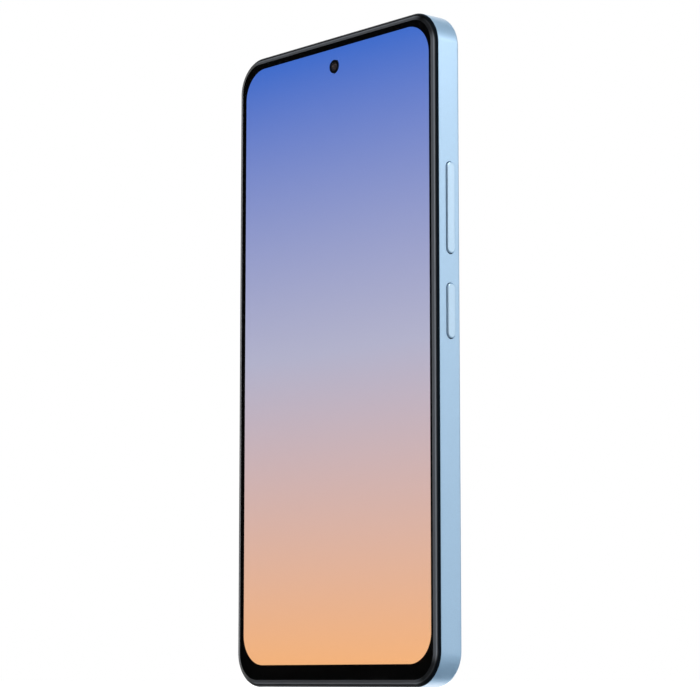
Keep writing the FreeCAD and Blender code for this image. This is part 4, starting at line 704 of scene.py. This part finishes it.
class PhoneSizes(bpy.types.PropertyGroup):
    """Sizes of the visible pieces that a user may want to change"""
    frame_round: length("Frame back round", "Rounding of the frame's back edge", 1.0)
    frame_break: length("Frame front break", "Rounding of the frame's front edge", 0.12)
    key_round: length("Key round", "Rounding of the tops of the keys", 0.25)
    mouth_flare: length("Opening flare", "Chamfer round each opening in the frame", 0.08)
    glass_slope: length("Glass slope", "How far the sloping edge of the glass reaches in", 1.2)
    glass_drop: length("Glass drop", "How far that edge falls", 0.55)
    unlit_edge: length("Unlit edge", "Unlit edge of the panel at its sides and top", 0.6)
    unlit_chin: length("Unlit chin", "Unlit edge of the panel at its bottom", 2.5)
    picture_corner: length("Picture corner", "Corner radius of the lit picture", 7.5)
    island_round: length("Camera plate round", "Rounding of the camera plate's edge", 0.35)


class PhoneColours(bpy.types.PropertyGroup):
    """Colours of the visible pieces that a user may want to change"""
    frame: colour("Frame", "Paint of the side frame and the card drawer", (0.38, 0.545, 0.715))
    keys: colour("Keys", "Paint of the power and volume keys", (0.47, 0.63, 0.78))
    rim: colour("Rim", "Dark rim round the glass", (0.0035, 0.0075, 0.013))
    # Base grey of the glass slope: partly its own tone, partly a painted reflection of soft light.
    glass_edge: colour("Glass edge", "Ground slope of the front glass", (0.108, 0.116, 0.130))
    rear: colour("Rear", "Back panel under its gloss", (0.36, 0.56, 0.76))
    island: colour("Camera plate", "Raised plate round the rear cameras", (0.33, 0.53, 0.74))
    rings: colour("Camera rings", "Turned rings round the camera windows", (0.56, 0.68, 0.80))
    picture_top: colour("Picture top", "Top of the gradient that the screen shows", (0.05, 0.15, 0.60))
    picture_middle: colour("Picture middle", "Middle of that gradient", (0.45, 0.45, 0.60))
    picture_foot: colour("Picture foot", "Foot of that gradient", (0.90, 0.45, 0.20))
    screen_brightness: FloatProperty(name="Screen brightness", description="Strength of the lit picture",
                                     default=1.1, min=0.0, max=5.0)


class PhoneView(bpy.types.PropertyGroup):
    """Camera"""
    place: FloatVectorProperty(name="Camera place", description="Where the camera stands", size=3,
                               default=(0.46112, -0.40115, 0.0015), unit="LENGTH", subtype="TRANSLATION")
    turn: FloatProperty(name="Camera turn", description="Turn about the upright axis",
                        default=math.radians(48.897), subtype="ANGLE")
    tilt: FloatProperty(name="Camera tilt", description="Upward tilt", default=math.radians(7.549),
                        subtype="ANGLE")
    lens: FloatProperty(name="Lens", description="Focal length in millimetres", default=128.42, min=10.0)


# ---- front ----

class PieceMaker:
    """What the operators share. Each takes its names from its class, such as phone.side_frame."""
    bl_options = {"REGISTER", "UNDO"}

    def __init_subclass__(cls):
        super().__init_subclass__()
        name = cls.__name__.split("_OT_")[1]
        cls.bl_idname = "phone." + name
        cls.bl_label = name.replace("_", " ").capitalize()

    def execute(self, context):
        self.make(context.scene.phone_sizes)
        return {"FINISHED"}


class PHONE_OT_cover_glass(PieceMaker, bpy.types.Operator):
    """Front glass with a sloping edge and a black border printed behind it"""

    def make(self, sizes):
        inset = HALF_WIDTH - GLASS.high.x
        front, back = GLASS.low.y, GLASS.high.y
        drop, reach = sizes.glass_drop / MM, sizes.glass_slope / MM
        half_width, low, high, corner = picture_area(sizes)
        glass = Shape()
        loops = glass.loft([
            glass.body_outline(front, inset + reach), glass.body_outline(front + drop, inset),
            glass.body_outline(back, inset),
            glass.outline("XZ", back, 2 * half_width, high - low, corner, up=(low + high) / 2)])
        glass.soften(loops[0], 0.10, 3)
        glass.soften(loops[1], 0.04, 2)
        glass.mark(1, lambda middle, normal: middle.y < back - WELD and normal.y > -0.99)
        glass.mark(2, lambda middle, normal: middle.y > back - WELD and body_inset(middle) < 4.0)
        looks = [finish_of("cover_glass"), glass_edge().material, border_print().material]
        glass.finish("front_glass", "cover_glass", "cover_glass", materials=looks)


class PHONE_OT_front_rim(PieceMaker, bpy.types.Operator):
    """Dark rim that the glass is bonded in, with the earpiece slit above the screen"""

    def make(self, sizes):
        glass_inset = HALF_WIDTH - GLASS.high.x
        foot = HALF_WIDTH - RIM.high.x
        crest, foot_level, ledge, back = RIM.low.y, BODY.low.y, GLASS.high.y, RIM.high.y
        gap = 0.1
        opening = (PANEL.size.x + 2 * gap, PANEL.size.z + 2 * gap, 7.0 + gap)
        rim = Shape()
        loops = rim.loft([
            rim.body_outline(foot_level, foot), rim.body_outline(foot_level - 0.02, foot),
            rim.body_outline(crest, foot + 0.34), rim.body_outline(crest, glass_inset - 0.03),
            rim.body_outline(ledge, glass_inset - 0.03),
            rim.outline("XZ", ledge, *opening, up=PANEL.middle.z),
            rim.outline("XZ", back, *opening, up=PANEL.middle.z),
            rim.body_outline(back, 1.02), rim.body_outline(foot_level, 1.02)], closed=True)
        rim.soften(loops[2], 0.03, 2)
        slit_low, slit_high = PANEL.high.z + 3 * gap, GLASS.high.z + 0.24
        half = Box("earpiece_mesh").size.x
        slit = Shape()
        slit.slab("XZ", crest - 0.2, ledge + 0.2, half, slit_high - slit_low, 0.1,
                  up=(slit_low + slit_high) / 2, steps=3)
        channel = Shape()
        channel.slab("XZ", ledge + 0.1, back + 0.2, half, HEIGHT - 1.0 - slit_low, 0.1,
                     up=(slit_low + HEIGHT - 1.0) / 2, steps=3)
        slit.combine(channel, "UNION")
        rim.combine(slit)
        rim.finish("front_rim", "rim_black", "front_bezel")


class PHONE_OT_display(PieceMaker, bpy.types.Operator):
    """Display panel with its lit picture and the opening for the front camera"""

    def make(self, sizes):
        front, back = PANEL.low.y + 0.02, PANEL.high.y
        panel = Shape()
        panel.slab("XZ", front, back, PANEL.size.x, PANEL.size.z, 7.0, up=PANEL.middle.z)
        hole = Shape()
        wide = 3.85
        hole.slab("XZ", front - 1.0, back + 1.0, wide, wide, wide / 2, up=PUNCH)
        panel.combine(hole)
        panel.finish("display", "display", "display_panel")


class PHONE_OT_front_camera(PieceMaker, bpy.types.Operator):
    """Lens of the front camera, seen through the opening in the picture"""

    def make(self, sizes):
        lens_box = Box("front_camera_lens")
        front, back = lens_box.low.y, lens_box.high.y
        radius = lens_box.size.x / 2
        dome = [(0.0, front), (radius * 0.35, front + 0.01), (radius * 0.7, front + 0.05),
                (radius, front + 0.14), (radius, back), (0.0, back)]
        lens = Shape()
        lens.lathe(dome, 0.0, PUNCH, closed=False)
        lens.mark(1, lambda middle, normal: normal.y < 0 and math.hypot(middle.x, middle.z - PUNCH) < 0.42)
        # The front lens and its pupil: their own colour, then the tint of their painted reflection at grazing
        # view.
        looks = [coated_glass("front_lens", tint(96, 84, 84), tint(120, 104, 100)).material,
                 coated_glass("front_pupil", tint(8, 8, 12), tint(30, 26, 52)).material]
        lens.finish("front_lens", "lens_glass", "front_camera_lens", materials=looks)


# ---- frame ----

class PHONE_OT_side_frame(PieceMaker, bpy.types.Operator):
    """Side frame with the openings for the keys, the drawer, the sockets and the sound"""

    def make(self, sizes):
        front, back = BODY.low.y, BODY.high.y
        plate_back, seat = Box("mid_plate").low.y + 0.5, COVER.low.y - 0.1
        ring = Shape()
        loops = ring.loft([ring.body_outline(level, inset) for level, inset in (
            (front, 0.0), (back, 0.0), (back, 1.3), (seat, 1.3), (seat, 1.8), (plate_back, 1.8),
            (plate_back, 1.0), (front, 1.0))], closed=True)
        ring.soften(loops[1], sizes.frame_round / MM, 8)
        ring.soften(loops[0], sizes.frame_break / MM, 4)
        ring.soften(loops[2], 0.08, 2)
        flare = sizes.mouth_flare / MM
        depth, key_wide, small_hole, sound_hole, sound_pitch = 3.0, 2.64, 1.0, 1.6, 3.0
        microphone_below, microphone_above = -12.0, 6.5
        inner = HALF_WIDTH - depth
        cutters = Shape()
        for key, high in (("power_key", 13.36), ("volume_key", 22.26)):
            cutters.mouth("YZ", inner, HALF_WIDTH, flare, key_wide, high, up=Box(key).middle.z)
        cutters.mouth("YZ", -inner, -HALF_WIDTH, flare, 2.2, 16.8, up=TRAY.middle.z)
        cutters.mouth("YZ", -inner, -HALF_WIDTH, flare, small_hole, small_hole, up=Box("eject_rod").middle.z)
        cutters.mouth("XY", depth, 0.0, 2 * flare, PORT.size.x + 0.2, PORT.size.y + 0.2)
        mesh = Box("speaker_mesh")
        for number in range(5):
            cutters.mouth("XY", depth, 0.0, flare, sound_hole, sound_hole,
                          across=mesh.middle.x + sound_pitch * (number - 2))
        cutters.mouth("XY", depth, 0.0, flare, small_hole, small_hole, across=microphone_below)
        for across, wide in ((microphone_above, small_hole), (Box("headphone_jack").middle.x, 4.34),
                             (Box("infrared_window").middle.x, 2.24)):
            cutters.mouth("XY", HEIGHT - depth, HEIGHT, flare, wide, wide, across=across)
        ring.combine(cutters)
        ring.finish("side_frame", "frame_paint", "side_frame")


class PHONE_OT_keys(PieceMaker, bpy.types.Operator):
    """Power key and volume key with the flanges that keep them in, and the switch domes under them"""

    def make(self, sizes):
        inner_wall = 35.625
        wide, flange_wide, flange_thick, overhang = 2.4, 3.5, 0.4, 1.1
        nub_wide, dome_wide = 1.6, 2.6
        for name, gap, nubs, node, joint, pressed in (
                ("power_key", 0.0, (0.0,), "power_dome", "power_press", 0.21),
                ("volume_key", 0.25, (-7.2, 7.2), "volume_domes", "volume_rock", 0.13)):
            box = Box(name)
            up, long = box.middle.z, box.size.z - overhang
            flange_back = inner_wall - gap
            flange_front = flange_back - flange_thick
            cap = Shape()
            loops = cap.stack("YZ", [(level, width, high, width / 2) for level, width, high in (
                (flange_front, flange_wide, box.size.z), (flange_back, flange_wide, box.size.z),
                (flange_back, wide, long), (box.high.x, wide, long))], up=up, steps=HOLE_STEPS)
            cap.soften(loops[3], sizes.key_round / MM, 5)
            extra = Shape()
            for nub in nubs:
                extra.slab("YZ", box.low.x, flange_front + 0.1, nub_wide, nub_wide, nub_wide / 2,
                           up=up + nub, steps=8)
            cap.combine(extra, "UNION")
            if name == "volume_key":
                ridge = Shape()
                ridge.slab("YZ", flange_back - 0.1, inner_wall, flange_wide, 1.0, 0.05, up=up, steps=2)
                cap.combine(ridge, "UNION")
            cap.finish(name, "key_paint", name, body=name + "_body")

            space = Box(node)
            domes = Shape()
            for nub in nubs:
                ends = domes.slab("YZ", space.low.x, space.high.x, dome_wide, dome_wide, dome_wide / 2,
                                  up=up + nub, steps=8)
                domes.soften(ends[1], 0.15, 3)
            piece = domes.finish(node, "steel", node)
            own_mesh(piece)


class PHONE_OT_card_drawer(PieceMaker, bpy.types.Operator):
    """Card drawer: its painted outer face and the carrier with two card pockets"""

    def make(self, sizes):
        up, left, neck = TRAY.middle.z, -HALF_WIDTH, -HALF_WIDTH + 1.6
        head = Shape()
        loops = head.slab("YZ", left, neck, 2.0, 16.6, 1.0, up=up, steps=HOLE_STEPS)
        head.soften(loops[0], 0.1, 3)
        carrier = Shape()
        ends = carrier.slab("XZ", -0.6, 0.6, 20.3, 15.0, 0.5, across=neck + 10.05, up=up, steps=4)
        carrier.soften(ends[0], 0.08, 2)
        head.combine(carrier, "UNION")
        pockets = Shape()
        pocket, bar, ledge, inside_long = 8.9, 0.8, 0.6, 20.2
        first = neck + (inside_long - 2 * pocket - bar) / 2 + pocket / 2
        for number in range(2):
            across = first + number * (pocket + bar)
            pockets.stack("XZ", [(level, wide, high, 0.4) for level, wide, high in (
                (-0.9, pocket, 12.4), (0.1, pocket, 12.4), (0.1, pocket - 2 * ledge, 11.2),
                (0.9, pocket - 2 * ledge, 11.2))], across, up, 4)
        head.combine(pockets)
        groove = Shape()
        groove.stack("YZ", [(left + depth, wide, high, wide / 2) for depth, wide, high in (
            (0.7, 1.4, 16.0), (0.7, 2.6, 17.2), (1.2, 2.6, 17.2), (1.2, 1.4, 16.0))],
            up=up, steps=HOLE_STEPS, closed=True)
        head.combine(groove)
        head.finish("card_drawer", "tray_metal", "sim_tray", body="card_drawer")


class PHONE_OT_charging_port(PieceMaker, bpy.types.Operator):
    """Drawn steel shell of the charging port, and its contact tongue"""

    def make(self, sizes):
        low, high, wide, deep = PORT.low.z, PORT.high.z, PORT.size.x, PORT.size.y
        shell = Shape()
        loops = shell.stack("XY", [
            (level, wide - 2 * wall, deep - 2 * wall, deep / 2 - wall)
            for level, wall in ((low, 0.0), (high, 0.0), (high, 0.3), (low, 0.3))], closed=True)
        shell.soften(loops[0], 0.1, 3)
        shell.soften(loops[3], 0.1, 3)
        shell.finish("port_shell", "steel", "port_shell")
        tongue_box = Box("port_tongue")
        tongue = Shape()
        ends = tongue.slab("XY", tongue_box.low.z, high - 1.5, 6.69, 0.7, 0.2, steps=4)
        tongue.soften(ends[0], 0.1, 3)
        block = Shape()
        block.slab("XY", high - 1.6, high, wide - 0.6, deep - 0.6, deep / 2 - 0.3)
        tongue.combine(block, "UNION")
        tongue.finish("port_tongue", "inner_plastic", "port_tongue",
                      materials=[tongue_contacts("tongue_contacts").material])


# ---- back ----

class PHONE_OT_rear_cover(PieceMaker, bpy.types.Operator):
    """Back panel, with openings for the cameras under the raised plate"""

    def make(self, sizes):
        inset = HALF_WIDTH - COVER.high.x
        cover = Shape()
        loops = cover.loft([cover.body_outline(level, inset) for level in (COVER.low.y, COVER.high.y)])
        cover.soften(loops[1], 0.15, 4)
        cover.combine(camera_holes(COVER, 0.2))
        cover.finish("rear_cover", "rear_cover", "rear_cover")


class PHONE_OT_camera_plate(PieceMaker, bpy.types.Operator):
    """Raised plate round the rear cameras, with its turned rings and windows"""

    def make(self, sizes):
        plate = Shape()
        loops = plate.slab("XZ", ISLAND.low.y, ISLAND.high.y, ISLAND.size.x, ISLAND.size.z, 8.0,
                           ISLAND.middle.x, ISLAND.middle.z)
        plate.soften(loops[1], sizes.island_round / MM, 6)
        plate.combine(camera_holes(ISLAND))
        plate.finish("camera_plate", "island_paint", "camera_island")

        base, crest = RINGS.low.y, RINGS.high.y
        window_back = crest - 0.25
        window_front = window_back - 0.5
        rings, windows = Shape(), Shape()
        for across, up, radius in RING_PLACES:
            bore = radius - 1.1 if radius == LARGE_RING else radius - 1.0
            rings.lathe([(radius, base), (radius, crest - 0.16), (radius - 0.05, crest - 0.05),
                         (radius - 0.16, crest), (bore + 0.12, crest), (bore + 0.03, crest - 0.04),
                         (bore, crest - 0.12), (bore, window_front), (bore - 0.5, window_front),
                         (bore - 0.5, base)], across, up)
            pane, bevel = bore - 0.02, 0.08
            windows.lathe([(0.0, window_front), (pane, window_front), (pane, window_back - bevel),
                           (pane - bevel, window_back), (0.0, window_back)], across, up, closed=False)
        rings.finish("camera_rings", "ring_metal", "camera_rings")
        windows.finish("camera_windows", "camera_glass", "camera_windows")


class PHONE_OT_cameras(PieceMaker, bpy.types.Operator):
    """Lens barrels behind the windows: stepped black baffles with a coated lens in each"""

    def make(self, sizes):
        barrel = Box("main_camera_barrel")
        across, up, _ = RING_PLACES[0]
        outer, low, high = barrel.size.x / 2, barrel.low.y, barrel.high.y
        steps = [(outer, low), (outer, high - 0.1), (outer - 0.1, high), (2.9, high), (2.7, high - 0.12),
                 (2.7, high - 0.6), (0.0, high - 0.6), (0.0, low)]
        self.turn("main_barrel", steps, across, up, "camera_black", "main_camera_barrel", body="focus_barrel")
        self.turn("main_lens", self.dome(2.68, high - 0.6, high - 0.05), across, up, "lens_glass",
                  "main_camera_lens", body="focus_barrel")
        for name, node, place, nose in (("wide", "wide_camera", RING_PLACES[1], 3.6),
                                        ("close", "close_camera", RING_PLACES[2], 2.1)):
            across, up, _ = place
            base = Box(node).high.y
            baffle = [(nose, base), (nose, base + 0.5), (nose - 0.1, base + 0.6), (nose * 0.72, base + 0.6),
                      (nose * 0.62, base + 0.4), (nose * 0.56, base + 0.35), (nose * 0.56, base)]
            self.turn(name + "_baffle", baffle, across, up, "camera_black", closed=True)
            self.turn(name + "_lens", self.dome(nose * 0.55, base, base + 0.4), across, up, "lens_glass")

    @staticmethod
    def dome(radius, low, high):
        """Profile of a lens with a curved outer face."""
        edge = 0.12
        sag = high - low - edge
        curve = [(radius * share, low + edge + sag * (1 - share * share))
                 for share in (0.0, 0.25, 0.5, 0.75, 0.9, 1.0)]
        return [(0.0, low), (radius, low)] + curve[::-1]

    @staticmethod
    def turn(name, profile, across, up, slot, *nodes, body="phone", closed=False):
        part = Shape()
        part.lathe(profile, across, up, closed=closed)
        part.finish(name, slot, *nodes, body=body)


class PHONE_OT_flash(PieceMaker, bpy.types.Operator):
    """Flash lens with the fine steps that spread its light"""

    def make(self, sizes):
        low, high, radius = FLASH.low.y, FLASH.high.y, FLASH.size.x / 2
        profile = [(0.0, low), (radius, low), (radius, high - 0.1), (radius - 0.1, high)]
        ridge = radius - 0.35
        while ridge > 0.3:
            profile += [(ridge, high), (ridge - 0.02, high - 0.08)]
            ridge -= 0.28
        profile.append((0.0, high - 0.06))
        lens = Shape()
        lens.lathe(profile, FLASH.middle.x, FLASH.middle.z, closed=False, steps=48)
        lens.finish("flash_lens", "flash_plastic", "flash_lens")


# ---- inside ----

class PHONE_OT_inner_parts(PieceMaker, bpy.types.Operator):
    """Finishes for the CAD nodes that are shown as they are"""

    def make(self, sizes):
        for part in frame["record"]["subparts"]:
            node = frame["nodes"][part["node"]]
            node.data.materials.clear()
            node.data.materials.append(finish_of(part["material_slot"]))


# ---- stage ----

class PHONE_OT_stage(PieceMaker, bpy.types.Operator):
    """Pale floor, soft studio light and the camera"""

    def make(self, sizes):
        scene = bpy.context.scene
        scene.view_settings.view_transform = "Standard"
        self.floor()
        self.surroundings(scene)
        for name, place, target, size, power, colour in (
                ("top_light", (0.5, 0.1, 1.3), (0.0, 0.0, 0.12), 0.9, 6.0, (1.0, 1.0, 1.0)),
                ("side_light", (0.21, 0.05, 0.25), (0.037, 0.0, 0.14), 0.16, 0.16, (1.0, 1.0, 1.0)),
                ("front_light", (0.5, -1.2, 0.6), (0.0, 0.0, 0.08), 0.8, 6.0, (1.0, 1.0, 1.0))):
            self.light(name, place, target, size, power, colour)
        view = scene.phone_view
        camera = placed("camera", bpy.data.cameras.new("camera"))
        camera.data.lens = view.lens
        camera.data.sensor_width = 36.0
        camera.data.clip_start = 0.005
        camera.data.clip_end = 50.0
        camera.location = view.place
        camera.rotation_euler = (math.pi / 2 + view.tilt, 0.0, view.turn)
        scene.camera = camera

    @staticmethod
    def floor():
        bm = bmesh.new()
        bmesh.ops.create_circle(bm, cap_ends=True, segments=96, radius=4.0)
        mesh = bpy.data.meshes.new("floor")
        bm.to_mesh(mesh)
        bm.free()
        paper = Finish("floor_paper", Roughness=0.9, Specular_IOR_Level=0.0, Emission_Strength=1.0)
        grain = paper.noise(1.2, 2.0)
        seen = paper.node("ShaderNodeLightPath", output="Is Camera Ray")
        paper.feed("Emission Color", paper.mix(seen, (0, 0, 0, 1), (1, 1, 1, 1)))
        paper.feed("Base Color", paper.mix(grain, (0.93, 0.93, 0.93, 1.0), (0.97, 0.97, 0.97, 1.0)))
        mesh.materials.append(paper.material)
        floor = placed("floor", mesh)
        floor.visible_glossy = False
        floor.visible_transmission = False

    @staticmethod
    def surroundings(scene):
        """A white room whose front half is dim and a little blue, so that the glass stays deep."""
        world = bpy.data.worlds.new("studio")
        world.use_nodes = True
        scene.world = world
        world.node_tree.nodes.clear()
        room = Nodes(world.node_tree)
        direction = room.node("ShaderNodeTexCoord", output="Generated")
        x, y, z = (room.node("ShaderNodeSeparateXYZ", {}, [direction], output=axis) for axis in range(3))
        behind = y.over(-0.3, 0.2)
        wall = x.over(0.1, 0.55) * (0.5 + 1.0 * z.over(-0.05, 0.35)) * z.over(0.62, 0.34) * z.over(-0.6, -0.2)
        far_wall = x.over(-0.05, -0.5)
        room_light = 0.02 + behind * (0.34 + 0.87 * wall + far_wall * (0.6 + 0.9 * z.over(-0.1, -0.4)))
        rays = room.node("ShaderNodeLightPath", output="Is Camera Ray")
        strength = room.node("ShaderNodeMix", {"data_type": "FLOAT"}, {0: rays, 2: room_light, 3: 1.0})
        lit = (wall + far_wall + rays).least(1.0)
        tone = room.mix(lit, (0.66, 0.86, 1.0, 1.0), (1.0, 1.0, 1.0, 1.0))
        shade = room.node("ShaderNodeBackground", {}, {"Color": tone, "Strength": strength})
        room.node("ShaderNodeOutputWorld", {}, {"Surface": shade})

    @staticmethod
    def light(name, place, target, size, power, colour):
        data = bpy.data.lights.new(name, "AREA")
        data.shape = "DISK"
        data.size = size
        data.energy = power
        data.color = colour
        lamp = placed(name, data)
        lamp.location = place
        aim = Vector(target) - Vector(place)
        lamp.rotation_euler = aim.to_track_quat("-Z", "Y").to_euler()
        lamp.visible_camera = False
        lamp.visible_glossy = name != "front_light"


# ---- add-on ----

SETTINGS = {"phone_sizes": PhoneSizes, "phone_colours": PhoneColours, "phone_view": PhoneView}
MAKERS = (PHONE_OT_inner_parts, PHONE_OT_cover_glass, PHONE_OT_front_rim, PHONE_OT_display,
          PHONE_OT_front_camera, PHONE_OT_side_frame, PHONE_OT_keys, PHONE_OT_card_drawer,
          PHONE_OT_charging_port, PHONE_OT_rear_cover, PHONE_OT_camera_plate, PHONE_OT_cameras,
          PHONE_OT_flash, PHONE_OT_stage)


class PHONE_PT_pieces(bpy.types.Panel):
    """Settings and makers of the phone's pieces"""
    bl_idname = "PHONE_PT_pieces"
    bl_label = "Phone"
    bl_space_type = "VIEW_3D"
    bl_region_type = "UI"
    bl_category = "Phone"

    def draw(self, context):
        for name, group in SETTINGS.items():
            settings = getattr(context.scene, name)
            for field in group.__annotations__:
                self.layout.prop(settings, field)
        for maker in MAKERS:
            self.layout.operator(maker.bl_idname)


CLASSES = (*SETTINGS.values(), *MAKERS, PHONE_PT_pieces)


def register():
    for group in CLASSES:
        bpy.utils.register_class(group)
    for name, group in SETTINGS.items():
        setattr(bpy.types.Scene, name, PointerProperty(type=group))


def unregister():
    for name in SETTINGS:
        delattr(bpy.types.Scene, name)
    for group in reversed(CLASSES):
        bpy.utils.unregister_class(group)


def main():
    register()
    for maker in MAKERS:
        area, name = maker.bl_idname.split(".")
        getattr(getattr(bpy.ops, area), name)()


if __name__ == "__main__":
    main()
